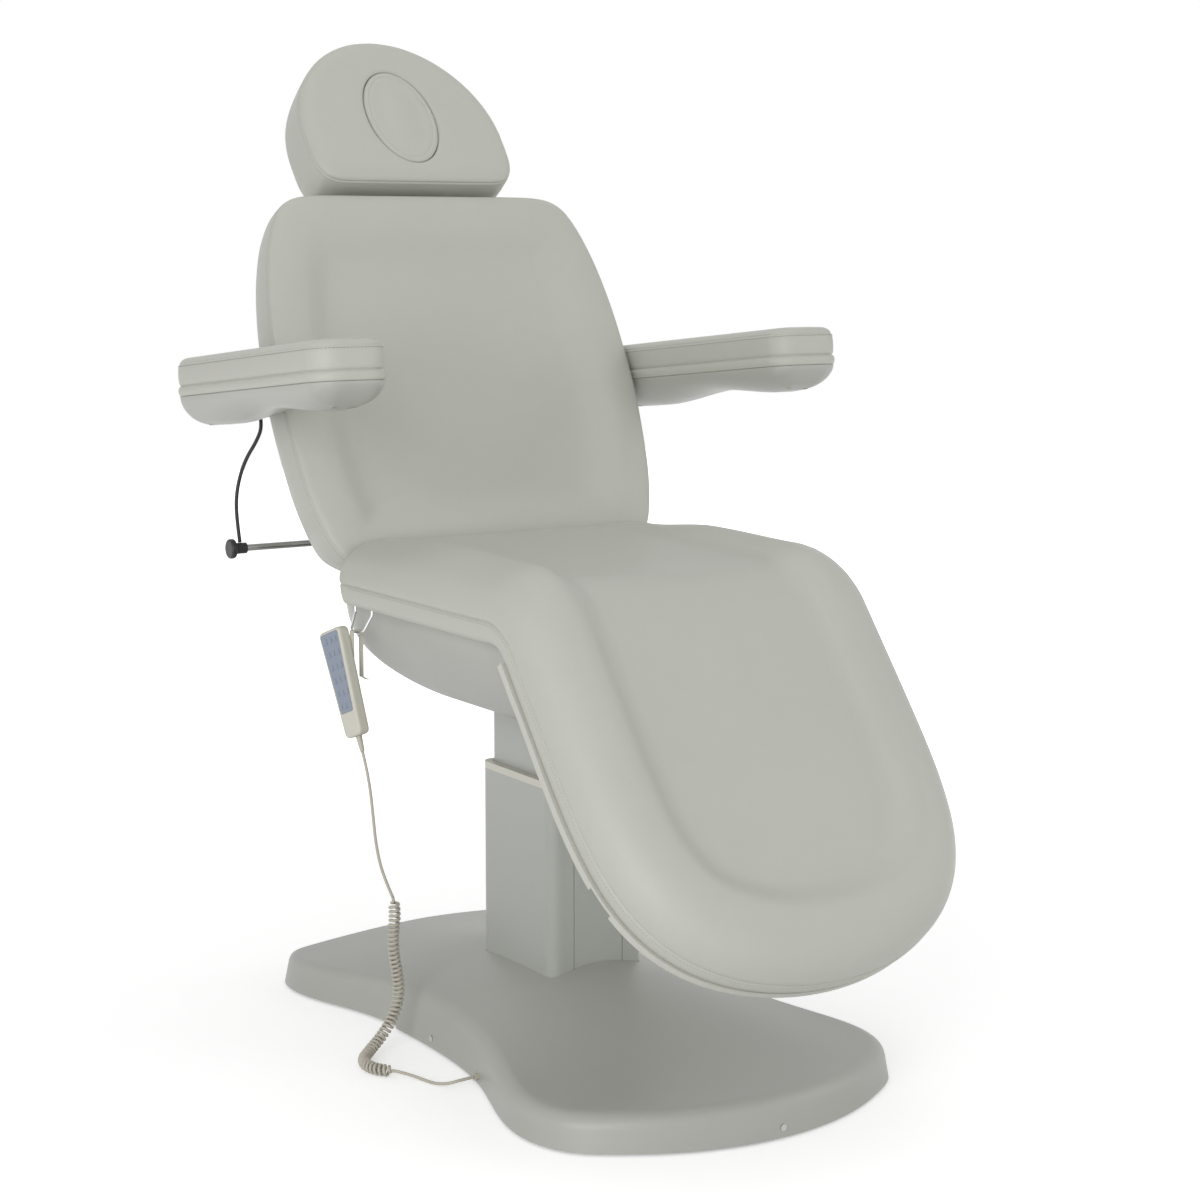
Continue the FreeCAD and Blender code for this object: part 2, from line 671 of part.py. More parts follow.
gland_end = cover_side(at(0, size.gland_y, size.gland_z), -X_AXIS) - X_AXIS * (0.35 * size.gland_length)
gland_rod = Part.makeCylinder(size.gland_radius, size.gland_length, gland_end, X_AXIS)
screws = []
for way, start in ((X_AXIS, at(0, size.screw_y, size.screw_z)), (-X_AXIS, at(0, size.screw_y, size.screw_z)),
                   (-Y_AXIS, at(0, -0.5 * size.base_front, size.screw_z))):
    screws.append(Part.makeCylinder(size.screw_radius, size.screw_length, cover_side(start, way) + way * 1.5,
                                    way * -1))
front_cover = front_form.common(front_space).cut(column_hole).cut(gland_rod)
rear_cover = rear_form.common(rear_space).cut(column_hole).cut(inlet_box)
for solid in screws:
    front_cover = front_cover.cut(solid)
feature("base_cover_front", front_cover)
feature("base_cover_rear", rear_cover)
feature("base_cover_screws", Part.makeCompound(screws))
feature("cord_gland", gland_rod)
inlet_lip = 5
inlet_face = bar(-0.3 * size.inlet_width, 0.3 * size.inlet_width,
                 inlet_y + 0.4 * size.inlet_depth, inlet_y + far,
                 inlet_low + inlet_lip, inlet_low + size.inlet_rise - inlet_lip)
feature("mains_inlet", inlet_box.cut(inlet_face))
node(block("control_box", "dims.control_width", "dims.control_length", "dims.control_rise",
           "-dims.control_width / 2", "dims.column_y + dims.control_y - dims.control_length / 2", plate_low),
     "control_box")

# Column and lift
sleeve_low = "dims.foot_rise + dims.bar_rise + dims.base_plate_thick"
sleeve = tube_body("column_outer", "dims.sleeve_width", "dims.sleeve_length", "dims.sleeve_wall",
                   f"dims.sleeve_top - ({sleeve_low})", sleeve_low, "dims.sleeve_corner")
groove_sketch = new_sketch(sleeve, "column_seams")
for side in (-1, 1):
    rectangle(groove_sketch, "dims.seam_width", "2 * dims.seam_depth",
              f"{side} * dims.seam_x", "-dims.sleeve_length / 2")
grooves = sleeve.newObject("PartDesign::Pocket", "column_grooves")
grooves.Profile = groove_sketch
grooves.Type = 1
grooves.Reversed = True
tube_body("column_trim", "dims.sleeve_width", "dims.sleeve_length",
          "((dims.sleeve_width - dims.ram_width) / 2 - dims.fit_gap)", "dims.trim_rise",
          "dims.sleeve_top", "dims.sleeve_corner")
tube_body("column_inner", "dims.ram_width", "dims.ram_length", "dims.ram_wall",
          "dims.ram_top - dims.ram_bottom", "dims.ram_bottom", "dims.ram_corner")
tube_body("column_glide", "(dims.sleeve_width - 2 * dims.sleeve_wall - 2 * dims.fit_gap)",
          "(dims.sleeve_length - 2 * dims.sleeve_wall - 2 * dims.fit_gap)",
          "((dims.sleeve_width - dims.ram_width) / 2 - dims.sleeve_wall - dims.fit_gap - dims.running_gap)",
          "dims.glide_rise", "dims.ram_bottom", "(dims.sleeve_corner - dims.sleeve_wall)")

lift_tube = rod("lift_tube", "dims.lift_radius", f"dims.lift_top - ({sleeve_low})",
                "0", "dims.column_y", sleeve_low)
lift_motor = block("lift_motor", "dims.motor_width", "dims.motor_length", "dims.motor_rise",
                   "-dims.motor_width / 2", "dims.column_y + dims.lift_radius - 6", sleeve_low)
lift_bore = rod("lift_bore", "dims.lift_bore", "dims.lift_top", "0", "dims.column_y",
                f"{sleeve_low} + dims.lift_floor")
node(cut("lift_actuator", fuse("lift_housing", [lift_tube, lift_motor]), lift_bore), "lift_actuator")
node(rod("lift_spindle", "dims.spindle_radius", "dims.ram_top - dims.spindle_bottom",
         "0", "dims.column_y", "dims.spindle_bottom"), "lift_spindle")

# Seat frame and boards
head_plate = block("head_plate", "dims.head_plate_width", "dims.head_plate_length", "dims.head_plate_thick",
                   "-dims.head_plate_width / 2", "dims.column_y - dims.head_plate_length / 2", "dims.ram_top")
post_low = "dims.ram_top + dims.head_plate_thick"
rail_low = "dims.board_bottom - dims.rail_rise"
frame_parts = [head_plate]
for side in (-1, 1):
    for end in (-1, 1):
        frame_parts.append(block(f"post_{side + 1}_{end + 1}", "dims.post_size", "dims.post_size",
                                 f"{rail_low} - ({post_low})",
                                 f"{side} * dims.post_x - dims.post_size / 2",
                                 f"dims.column_y + {end} * dims.post_y - dims.post_size / 2", post_low))
    frame_parts.append(block(f"rail_{side + 1}", "dims.rail_width",
                             "dims.back_y - dims.knee_y - 2 * dims.hinge_radius + dims.fit_gap", "dims.rail_rise",
                             f"{side} * dims.rail_x - dims.rail_width / 2",
                             "dims.column_y + dims.knee_y + dims.hinge_radius", rail_low))
    for name, y, z in (("knee", "dims.knee_y", "dims.knee_z"), ("back", "dims.back_y", "dims.back_z")):
        lug_x = f"{side} * dims.rail_x - dims.lug_thick / 2"
        frame_parts.append(rod(f"lug_{name}_{side + 1}", "dims.lug_radius", "dims.lug_thick",
                               lug_x, f"dims.column_y + {y}", z, X_AXIS))
        low_z = f"min({z}; {rail_low})"
        frame_parts.append(block(f"web_{name}_{side + 1}", "dims.lug_thick", "2 * dims.lug_radius",
                                 f"max({z}; {rail_low} + dims.rail_rise / 2) - {low_z}", lug_x,
                                 f"dims.column_y + {y} - dims.lug_radius", low_z))
for end in (-1, 1):
    frame_parts.append(block(f"cross_{end + 1}", "2 * dims.rail_x", "dims.post_size", "dims.rail_rise",
                             "-dims.rail_x", f"dims.column_y + {end} * dims.post_y - dims.post_size / 2",
                             rail_low))
frame_solid = fuse("seat_weldment", frame_parts)
pin_bores = []
for name, y, z in (("knee", "dims.knee_y", "dims.knee_z"), ("back", "dims.back_y", "dims.back_z")):
    pin_bores.append(rod(f"bore_{name}", "dims.pin_radius + dims.running_gap", "2 * dims.seat_half",
                         "-dims.seat_half", f"dims.column_y + {y}", z, X_AXIS))
    pin = rod(f"{name}_hinge_pin", "dims.pin_radius", "2 * dims.rail_x + dims.lug_thick + 6",
              "-dims.rail_x - dims.lug_thick / 2 - 3", f"dims.column_y + {y}", z, X_AXIS)
    node(pin, f"{name}_hinge_pin")
node(cut("seat_frame", frame_solid, fuse("pin_bores", pin_bores)), "seat_frame")

lean = math.tan(math.radians(size.back_recline))
turn_back = math.radians(90 - size.back_recline)
back_up = Vec(0, math.cos(turn_back), math.sin(turn_back))
back_out = Vec(0, -math.sin(turn_back), math.cos(turn_back))
back_hinge = at(0, size.back_y, size.back_z)
seat_low = size.board_bottom + size.board_thick
seat_side = seat_low + size.seat_seam_rise
seat_crest = seat_low + size.seat_rise


def back_plane_y(z):
    """Where the front plane of the back is, at a height."""
    foot = back_hinge + back_out * size.back_face
    return foot.y + (z - foot.z) * lean


board_rear = back_plane_y(size.board_bottom) - 2 * size.fit_gap
feature("seat_board", bar(-size.seat_half + size.board_inset, size.seat_half - size.board_inset,
                          size.column_y + size.knee_y + size.knee_gap, board_rear,
                          size.board_bottom, seat_low))


def seat_section(y, drop, dish, slanted=False):
    """The seat cushion across, at a place along it."""
    crest = seat_crest - drop

    def place(px, pz):
        return Vec(px, back_plane_y(pz) - size.seat_back_gap if slanted else size.column_y + y, pz)

    return pillow_loop(place, size.seat_half, seat_low + 0.2, seat_side, crest, crest - dish,
                       size.roll_x, size.dish_x)


seat_stations = [
    seat_section(0, size.seat_rear_drop + 3, 0.2 * size.seat_dish, slanted=True),
    seat_section(0.45 * size.back_y, size.seat_rear_drop, 0.55 * size.seat_dish),
    seat_section(0.3 * size.knee_y, -4, 0.9 * size.seat_dish),
    seat_section(size.knee_y + size.knee_gap, 0, size.seat_dish),
]
feature("seat_cushion", loft(seat_stations))

# Knee: the bend of the cushion, a turn about the hinge axis
knee = at(0, size.knee_y, size.knee_z)
leg_low = size.leg_board_low + size.board_thick + 0.2
leg_seam_share = 0.28
leg_seam = leg_low + leg_seam_share * (size.leg_crest - leg_low)


def knee_section(angle, offset):
    """A cross section turned about the leg hinge, 0 level and positive down."""
    share = angle / size.leg_drop
    low = (1 - share) * (seat_low + 0.2 - size.knee_z) + share * leg_low
    side = (1 - share) * (seat_side - size.knee_z) + share * leg_seam
    crest = (1 - share) * (seat_crest - size.knee_z) + share * size.leg_crest
    spin = FreeCAD.Rotation(X_AXIS, angle)

    def place(px, pz):
        return knee + spin.multVec(Vec(px, offset, pz))

    return pillow_loop(place, size.seat_half, low, side, crest, crest - size.seat_dish,
                       size.roll_x, size.dish_x)


knee_reach = size.knee_gap - size.fit_gap
knee_stations = [knee_section(0, knee_reach)]
for share in (0, 0.5, 1):
    knee_stations.append(knee_section(share * size.leg_drop, 0))
knee_stations.append(knee_section(size.leg_drop, -knee_reach))
feature("knee_cushion", loft(knee_stations))

# Belly cover
belly_rim = size.board_bottom - 0.2
belly_half = size.rail_x + 0.5 * size.rail_width + size.belly_out


def belly_loops(inset):
    rise = belly_rim - size.belly_bottom
    stations = (
        (1, 1, 1, 0),
        (0.76, 0.975, 1, 0),
        (0.48, 0.87, 1, 4),
        (0.2, 0.7, 0.86, 16),
        (0, 0.45, 0.54, 48),
    )
    loops = []
    for level, wide, far_share, pull in stations:
        z = size.belly_bottom + level * rise
        if level == 0:
            z += inset
        half = belly_half * wide - inset
        rear = size.column_y + size.belly_rear * far_share - inset
        front = size.column_y + size.belly_front + pull + inset
        loops.append(rounded_loop(half, front, rear, size.belly_corner * (0.5 + 0.5 * wide) - inset, z))
    return loops


belly_inner = belly_loops(size.belly_wall)
top_loop = rounded_loop(belly_half - size.belly_wall,
                        size.column_y + size.belly_front + size.belly_wall,
                        size.column_y + size.belly_rear - size.belly_wall,
                        size.belly_corner - size.belly_wall, belly_rim + 1)
belly = loft(belly_loops(0)).cut(loft([top_loop] + belly_inner[1:]))
open_front = bar(-far, far, -far, size.column_y + size.belly_open, size.belly_bottom - 1, far)
low_rim = bar(-far, far, size.column_y + size.belly_notch_y, far, size.belly_notch_z, far)
ram_gap = 2
ram_reach = 0.5 * size.ram_length + ram_gap
ram_loop = rounded_loop(0.5 * size.ram_width + ram_gap, size.column_y - ram_reach, size.column_y + ram_reach,
                        size.ram_corner + ram_gap, 0)
ram_hole = Part.Face(ram_loop).extrude(Vec(0, 0, size.belly_bottom + 20))
feature("belly_cover", belly.cut(open_front).cut(low_rim).cut(ram_hole))

# Back: built lying flat on its hinge axis, then turned up
back_place = FreeCAD.Placement(back_hinge, FreeCAD.Rotation(X_AXIS, 90 - size.back_recline))
back_rear = size.back_face - size.back_thick
tube_top = back_rear - 0.2
tube_low = tube_top - size.back_tube
half_tube = 0.5 * size.back_tube_width
inner_lug = size.rail_x - 0.5 * size.lug_thick - size.fit_gap
frame_end = size.back_end - 40


def lever_arm(length, angle, side):
    """A lever plate with its pin, turned from straight down about X."""
    thick = size.lever_thick
    start = side * (size.lever_x + 0.5 * size.yoke_width + size.fit_gap)
    low, high = sorted((start, start + side * thick))
    plate = joined([
        cylinder_x(size.hinge_radius, low, high, 0, 0),
        bar(low, high, -size.hinge_radius + 2, size.hinge_radius - 2, -length, 0),
        cylinder_x(size.hinge_radius - 2, low, high, 0, -length),
    ])
    inner = side * (size.lever_x - 0.5 * size.yoke_width - 4)
    pin_low, pin_high = sorted((inner, start + side * 0.5 * thick))
    plate = joined([plate, cylinder_x(size.crank_radius, pin_low, pin_high, 0, -length)])
    plate.rotate(Vec(), X_AXIS, angle)
    return plate


back_mid_lever = 0.5 * size.back_travel
lever_back = lever_arm(size.back_lever, back_mid_lever - (90 - size.back_recline), 1)
back_parts = [cylinder_x(size.hinge_radius, -inner_lug, inner_lug, 0, 0), lever_back]
for side in (-1, 1):
    x = side * size.back_tube_x
    back_parts.append(bar(x - half_tube, x + half_tube, -size.hinge_radius + 2, frame_end,
                          tube_low, tube_top))
for along in (0.5 * size.arm_up, size.arm_up, frame_end - size.guide_length - size.back_tube_width):
    back_parts.append(bar(-size.back_tube_x, size.back_tube_x, along - half_tube, along + half_tube,
                          tube_low, tube_top))
hinge_bore = cylinder_x(size.pin_radius + size.running_gap, -far, far, 0, 0)
feature("back_frame", joined(back_parts).cut(hinge_bore), back_place)

board_low, board_high = back_rear, back_rear + size.board_thick
board_half = size.back_board_half
feature("back_board", bar(-board_half, board_half, size.back_start + size.back_board_inset,
                          size.back_end - size.back_board_inset, board_low, board_high), back_place)


def back_section(along, narrower, fall, lift, dish, dish_x):
    """The back cushion across, at a place up the back."""
    half = size.back_half - narrower
    crest = size.back_face - fall
    side = size.back_face - 34 - 0.6 * fall
    place = lambda px, pz: Vec(px, along, pz)
    return pillow_loop(place, half, back_rear + lift, side, crest, crest - dish, half - 62, dish_x,
                       size.back_draw)


span = size.back_end - size.back_start
deep = size.back_dish
back_stations = [
    back_section(size.back_start, 66, 26, 22, 4, 150),
    back_section(size.back_start + 12, 48, 8, 8, 8, 160),
    back_section(size.back_start + 42, 34, 0, 0, deep, 165),
    back_section(size.back_start + 0.26 * span, 7, 0, 0, deep, 168),
    back_section(size.back_start + 0.42 * span, 0, 0, 0, deep, 170),
    back_section(size.back_start + 0.66 * span, 8, 0, 0, deep, 175),
    back_section(size.back_start + 0.8 * span, 22, 0, 0, 10, 190),
    back_section(size.back_end - 46, 47, 2, 0, 6, 205),
    back_section(size.back_end - 14, 70, 12, 6, 3, 185),
    back_section(size.back_end, 92, 32, 20, 2, 165),
]
board_pocket = bar(-board_half - 0.2, board_half + 0.2, size.back_start + size.back_board_inset - 0.2,
                   size.back_end - size.back_board_inset + 0.2, board_low - 1, board_high + 0.2)
behind_back = bar(-far, far, -far, far, -far, back_rear)
hinge_space = cylinder_x(size.lug_radius + size.fit_gap, -far, far, 0, 0)
back_form = loft(back_stations).cut(behind_back).cut(hinge_space)
feature("back_cushion", back_form.cut(board_pocket), back_place)

# Headrest guides and arm brackets ride on the back
bar_top = tube_top - size.guide_wall - size.fit_gap
bar_middle = bar_top - 0.5 * size.head_bar_thick
guide_low = bar_top - size.head_bar_thick - size.fit_gap - size.guide_wall
guides = []
for side in (-1, 1):
    x = side * size.head_bar_x
    slot_half = 0.5 * size.head_bar_width + size.fit_gap
    wall_half = slot_half + size.guide_wall
    sleeve_box = bar(x - wall_half, x + wall_half, frame_end - size.guide_length, frame_end,
                     guide_low, tube_top)
    slot = bar(x - slot_half, x + slot_half, frame_end - far, frame_end + far,
               guide_low + size.guide_wall, tube_top - size.guide_wall)
    guides.append(sleeve_box.cut(slot))
feature("headrest_guides", Part.makeCompound(guides), back_place)

for side, name in ((1, "left"), (-1, "right")):
    half_width = 0.5 * size.bracket_width
    tube_side = size.back_tube_x + half_tube
    cheek = size.bracket_x + size.ear_thick
    reach = bar(tube_side, cheek, size.arm_up - half_width, size.arm_up + half_width,
                tube_low, tube_low + size.bracket_thick)
    ear = bar(size.bracket_x, cheek, size.arm_up - half_width, size.arm_up + half_width,
              tube_low, half_width)
    boss = cylinder_x(size.arm_boss_radius, size.bracket_x, size.arm_inner - size.fit_gap, size.arm_up, 0)
    pin = cylinder_x(size.arm_pin_radius, size.bracket_x, size.arm_inner + size.arm_pin_reach, size.arm_up, 0)
    bracket = joined([reach, ear, boss, pin])
    if side < 0:
        bracket = bracket.mirror(Vec(), X_AXIS)
    feature(f"arm_bracket_{name}", bracket, back_place)

# Paper roll rod, hung on two cords behind the back
node(rod("roll_rod", "dims.roll_radius", "2 * dims.roll_half", "-dims.roll_half",
         "dims.column_y + dims.roll_y", "dims.roll_z", X_AXIS), "roll_rod")
hub_radius = 1.5 * size.roll_radius
hub_length = 2 * size.disc_thick
ear_foot = back_hinge + back_up * (size.arm_up - 0.5 * size.bracket_width)
ear_below = ear_foot - back_up * 25
ear_x = size.bracket_x + 0.5 * size.ear_thick
roll_cord_route = [
    Vec(ear_x, ear_foot.y, ear_foot.z), Vec(ear_x, ear_below.y, ear_below.z), at(346, 366.4, 930),
    at(358, 380.4, 903), at(367, 389.4, 871), at(372, 393.4, 836), at(372, 390.9, 800), at(370, 386, 766.4),
]
for side, name in ((1, "left"), (-1, "right")):
    rod_y = size.column_y + size.roll_y
    hub = cylinder_x(hub_radius, size.roll_half - hub_length, size.roll_half, rod_y, size.roll_z)
    disc = cylinder_x(size.disc_radius, size.roll_half, size.roll_half + size.disc_thick, rod_y, size.roll_z)
    disc = disc.makeFillet(0.3 * size.disc_thick, disc.Edges)
    core = cylinder_x(size.roll_radius, 0, size.roll_half, rod_y, size.roll_z)
    end = joined([hub, disc]).cut(core)
    if side < 0:
        end = end.mirror(Vec(), X_AXIS)
    feature(f"roll_disc_{name}", end)
    cord(f"roll_cord_{name}", [Vec(side * p.x, p.y, p.z) for p in roll_cord_route], size.roll_cord_radius)

# Headrest: built lying flat on its hinge axis, then turned up
head_hinge = back_hinge + back_up * size.head_hinge_up + back_out * bar_middle
head_place = FreeCAD.Placement(head_hinge, FreeCAD.Rotation(X_AXIS, 90 - size.head_recline))
barrel = size.guide_wall + 0.5 * size.head_bar_thick
barrel_half = size.head_bar_x + 0.5 * size.head_bar_width
lug_half = barrel_half + size.fit_gap
barrel_end = lug_half + size.lug_thick
bracket_parts = [cylinder_x(barrel, -barrel_end, barrel_end, size.head_hinge_up, bar_middle)]
for side in (-1, 1):
    x = side * size.head_bar_x
    bracket_parts.append(bar(x - 0.5 * size.head_bar_width, x + 0.5 * size.head_bar_width,
                             size.head_hinge_up - size.head_bar_length, size.head_hinge_up,
                             bar_top - size.head_bar_thick, bar_top))
feature("headrest_bracket", joined(bracket_parts), back_place)

head_rear = size.head_face - size.head_thick
plug_y = size.head_start + size.plug_middle


def oval(half_x, half_y, y, z):
    """A level oval on the middle line."""
    ends = [Vec(0, y + half_y, z), Vec(half_x, y, z)]
    if half_x > half_y:
        ends.reverse()
    return Part.Wire([Part.Ellipse(*ends, Vec(0, y, z)).toShape()])


face_hole = Part.Face(oval(size.plug_half_width, size.plug_half_height, plug_y, head_rear - 1)).extrude(
    Vec(0, 0, 2 * size.head_thick))
lugs = []
strap_foot = size.head_start - 2
strap_top = size.head_start + 3 * size.back_board_inset
for side in (-1, 1):
    start = side * lug_half
    low, high = sorted((start, start + side * size.lug_thick))
    lugs.append(cylinder_x(1.7 * barrel, low, high, 0, 0))
    lugs.append(bar(low, high, strap_foot, strap_top, 0, head_rear))
lugs.append(bar(-lug_half - size.lug_thick, lug_half + size.lug_thick, strap_foot, strap_top,
                head_rear - size.head_bar_thick, head_rear))
lug_bore = cylinder_x(barrel + size.running_gap, -far, far, 0, 0)
feature("headrest_frame", joined(lugs).cut(lug_bore), head_place)


def head_half_at(along):
    """Half width of the headrest at a height above its lower end: rounded below, domed above."""
    wide = size.head_wide_at
    if along > wide:
        fall = ((along - wide) / (size.head_length - wide)) ** 1.9
    else:
        fall = ((wide - along) / (1.31 * wide)) ** 4.7
    return size.head_half * math.sqrt(max(0.0, 1 - fall))


def head_section(along, fall, lift):
    """The headrest cushion across, at a height above its lower end."""
    half = max(head_half_at(along), 0.16 * size.head_half)
    crest = size.head_face - fall
    place = lambda px, pz: Vec(px, size.head_start + along, pz)
    return pillow_loop(place, half, head_rear + lift, crest - 26, crest, crest - 1.5, 0.76 * half, 0.4 * half,
                       0.05 * half)


head_board_y = size.head_start + 0.5 * size.head_length
head_board = Part.Face(oval(size.head_board_half, size.head_board_rise, head_board_y, head_rear)).extrude(
    Vec(0, 0, size.board_thick))
feature("headrest_board", head_board.cut(face_hole), head_place)
head_stations = [
    head_section(0, 16, 5),
    head_section(9, 5, 1),
    head_section(34, 0, 0),
    head_section(size.head_wide_at, 0, 0),
]
for share in (0.55, 0.72, 0.84, 0.92, 0.97, 1):
    fall = max(0.0, share - 0.72) / 0.28
    head_stations.append(head_section(share * size.head_length, 24 * fall ** 3, 18 * fall ** 3))
head_pocket = Part.Face(oval(size.head_board_half + 0.3, size.head_board_rise + 0.3, head_board_y,
                             head_rear - 1)).extrude(Vec(0, 0, size.board_thick + 1.2))
behind_head = bar(-far, far, -far, far, -far, head_rear + 0.1)
head_form = loft(head_stations).cut(behind_head)
feature("headrest_cushion", head_form.cut(head_pocket).cut(face_hole), head_place)

plug_loops = []
for level, pull in ((0.02, size.plug_draft), (0.6, 0), (0.93, 0), (0.99, 5)):
    inset = size.fit_gap + pull
    plug_loops.append(oval(size.plug_half_width - inset, size.plug_half_height - inset, plug_y,
                           head_rear + level * size.head_thick))
feature("face_plug", Part.makeLoft(plug_loops, True, True), head_place)

# Armrests: built level on their pivots, then tipped nose up and set on the back
arm_pivot = back_hinge + back_up * size.arm_up
arm_turn = FreeCAD.Rotation(X_AXIS, -size.arm_tilt)
tail = size.arm_pivot_tail
nose = tail - size.arm_length
arm_half = 0.5 * size.arm_width
pad_low = size.arm_pivot_drop - size.pad_thick
bead_low = pad_low - size.bead_thick


def arm_loop(inset, z):
    return rounded_loop(arm_half - inset, nose + inset, tail - inset, size.arm_corner - inset, z)


def shell_section(y, depth):
    """The armrest shell across: flat top, rounded belly."""
    half = arm_half
    top = bead_low - 0.2
    low = top - depth
    place = lambda px, pz: Vec(px, y, pz)
    flat = 0.55 * half
    bulge = (0.93 * half, top - 0.62 * depth)
    return loop([
        (place(-half, top), place(half, top)),
        (place(half, top), place(*bulge), place(flat, low)),
        (place(flat, low), place(-flat, low)),
        (place(-flat, low), place(-bulge[0], bulge[1]), place(-half, top)),
    ])


for side, name in ((1, "left"), (-1, "right")):
    arm_place = FreeCAD.Placement(arm_pivot + X_AXIS * (side * (size.arm_inner + arm_half)), arm_turn)
    pad = Part.Face(arm_loop(0, pad_low + 0.2)).extrude(Vec(0, 0, size.pad_thick - 0.2))
    top_edges = [edge for edge in pad.Edges if edge.BoundBox.ZMin > size.arm_pivot_drop - 1]
    pad = pad.makeFillet(size.pad_crown, top_edges)
    bead = loft([arm_loop(2, bead_low), arm_loop(-size.bead_swell, bead_low + 0.3 * size.bead_thick),
                 arm_loop(-size.bead_swell, bead_low + 0.7 * size.bead_thick), arm_loop(2, pad_low)])
    shell = loft([
        shell_section(tail, 0.6 * size.shell_tail),
        shell_section(tail - 22, 0.93 * size.shell_tail),
        shell_section(tail - 0.2 * size.arm_length, size.shell_tail),
        shell_section(tail - 0.55 * size.arm_length, size.shell_middle),
        shell_section(nose + 0.14 * size.arm_length, size.shell_nose),
        shell_section(nose + 20, 0.9 * size.shell_nose),
        shell_section(nose, 0.5 * size.shell_nose),
    ])
    plan = Part.Face(arm_loop(1, bead_low - far)).extrude(Vec(0, 0, 2 * far))
    shell = shell.common(plan)
    pin_start, pin_end = sorted((-2 * side * arm_half, side * (size.arm_pin_reach + 1 - arm_half)))
    pin_space = cylinder_x(size.arm_pin_radius + size.running_gap, pin_start, pin_end, 0, 0)
    boss_start, boss_end = sorted((-2 * side * arm_half, -side * arm_half))
    boss_space = cylinder_x(size.arm_boss_radius + size.fit_gap, boss_start, boss_end, 0, 0)
    feature(f"arm_pad_{name}", pad, arm_place)
    feature(f"arm_rim_{name}", bead, arm_place)
    feature(f"arm_shell_{name}", shell.cut(pin_space).cut(boss_space), arm_place)

# Leg: built level on the knee hinge, then let down
leg_place = FreeCAD.Placement(knee, FreeCAD.Rotation(X_AXIS, size.leg_drop))
leg_square = size.leg_square
leg_tube_end = size.leg_length - size.leg_frame_short
notch_start = size.leg_length - size.notch_from_end


def rounded_end(along, start, full, power):
    """A size that falls from full at start to nothing at the leg's end."""
    if along <= start:
        return full
    share = (along - start) / (size.leg_length - start)
    return full * math.sqrt(max(0.0, 1 - share ** power))


def leg_section(along):
    """The leg cushion across, at a place from the hinge axis."""
    half = max(rounded_end(along, leg_square, size.seat_half, size.leg_power), size.leg_end_half)
    rise = max(rounded_end(along, 0.78 * size.leg_length, size.leg_crest - leg_low, 2.5), 20)
    crest = leg_low + rise
    fade = min(1.0, max(0.0, (0.86 * size.leg_length - along) / 90))
    dish = 1 + (size.seat_dish - 1) * fade
    place = lambda px, pz: Vec(px, -along, pz)
    return pillow_loop(place, half, leg_low, leg_low + leg_seam_share * rise, crest, crest - dish,
                       half * size.roll_x / size.seat_half, half * size.dish_x / size.seat_half)


leg_stations = [leg_section(size.knee_gap)]
leg_shares = (0.12, 0.35, 0.55, 0.7, 0.82, 0.9, 0.95, 0.98)
for share in leg_shares:
    leg_stations.append(leg_section(share * size.leg_length))
feature("leg_cushion", loft(leg_stations), leg_place)

rim_points = []
for along in [leg_square] + [share * size.leg_length for share in leg_shares[1:]]:
    rim_points.append((rounded_end(along, leg_square, size.seat_half + 4, size.leg_power), along))
rim_curve = Part.BSplineCurve()
rim_curve.interpolate([Vec(x, -along, size.leg_board_low) for x, along in rim_points]
                      + [Vec(0, -size.leg_length, size.leg_board_low)]
                      + [Vec(-x, -along, size.leg_board_low) for x, along in reversed(rim_points)])
board_half = size.seat_half + 4
board_root = -size.knee_gap - 2
root_right = Vec(board_half, board_root, size.leg_board_low)
root_left = Vec(-board_half, board_root, size.leg_board_low)
board_wire = Part.Wire([
    Part.LineSegment(root_left, root_right).toShape(),
    Part.LineSegment(root_right, Vec(board_half, -leg_square, size.leg_board_low)).toShape(),
    rim_curve.toShape(),
    Part.LineSegment(Vec(-board_half, -leg_square, size.leg_board_low), root_left).toShape(),
])
leg_board = Part.Face(board_wire).extrude(Vec(0, 0, size.board_thick))
notch_x = rounded_end(notch_start + size.notch_length, leg_square, board_half, size.leg_power)
for side in (-1, 1):
    low, high = sorted((side * board_half, side * (notch_x - size.notch_depth)))
    leg_board = leg_board.cut(bar(low, high, -notch_start - size.notch_length, -notch_start,
                                  size.leg_board_low - 1, size.leg_board_low + 0.6 * size.board_thick))
feature("leg_board", leg_board, leg_place)

leg_top = size.leg_board_low - 0.2
leg_tube_low = leg_top - size.leg_tube
lever_leg = lever_arm(size.leg_lever, 0.5 * size.leg_travel - size.leg_drop, -1)
leg_parts = [cylinder_x(size.hinge_radius, -inner_lug, inner_lug, 0, 0), lever_leg]
for side in (-1, 1):
    x = side * size.leg_tube_x
    half_leg = 0.5 * size.leg_tube
    root = -0.6 * size.hinge_radius
    leg_parts.append(bar(x - half_leg, x + half_leg, -leg_tube_end, root, leg_tube_low, leg_top))
    leg_parts.append(bar(x - half_leg, x + half_leg, -2.4 * size.hinge_radius, root, 0, leg_top))
for along in (0.3 * leg_tube_end, leg_tube_end - half_leg):
    leg_parts.append(bar(-size.leg_tube_x, size.leg_tube_x, -along - half_leg, -along + half_leg,
                         leg_tube_low, leg_top))
feature("leg_frame", joined(leg_parts).cut(hinge_bore), leg_place)


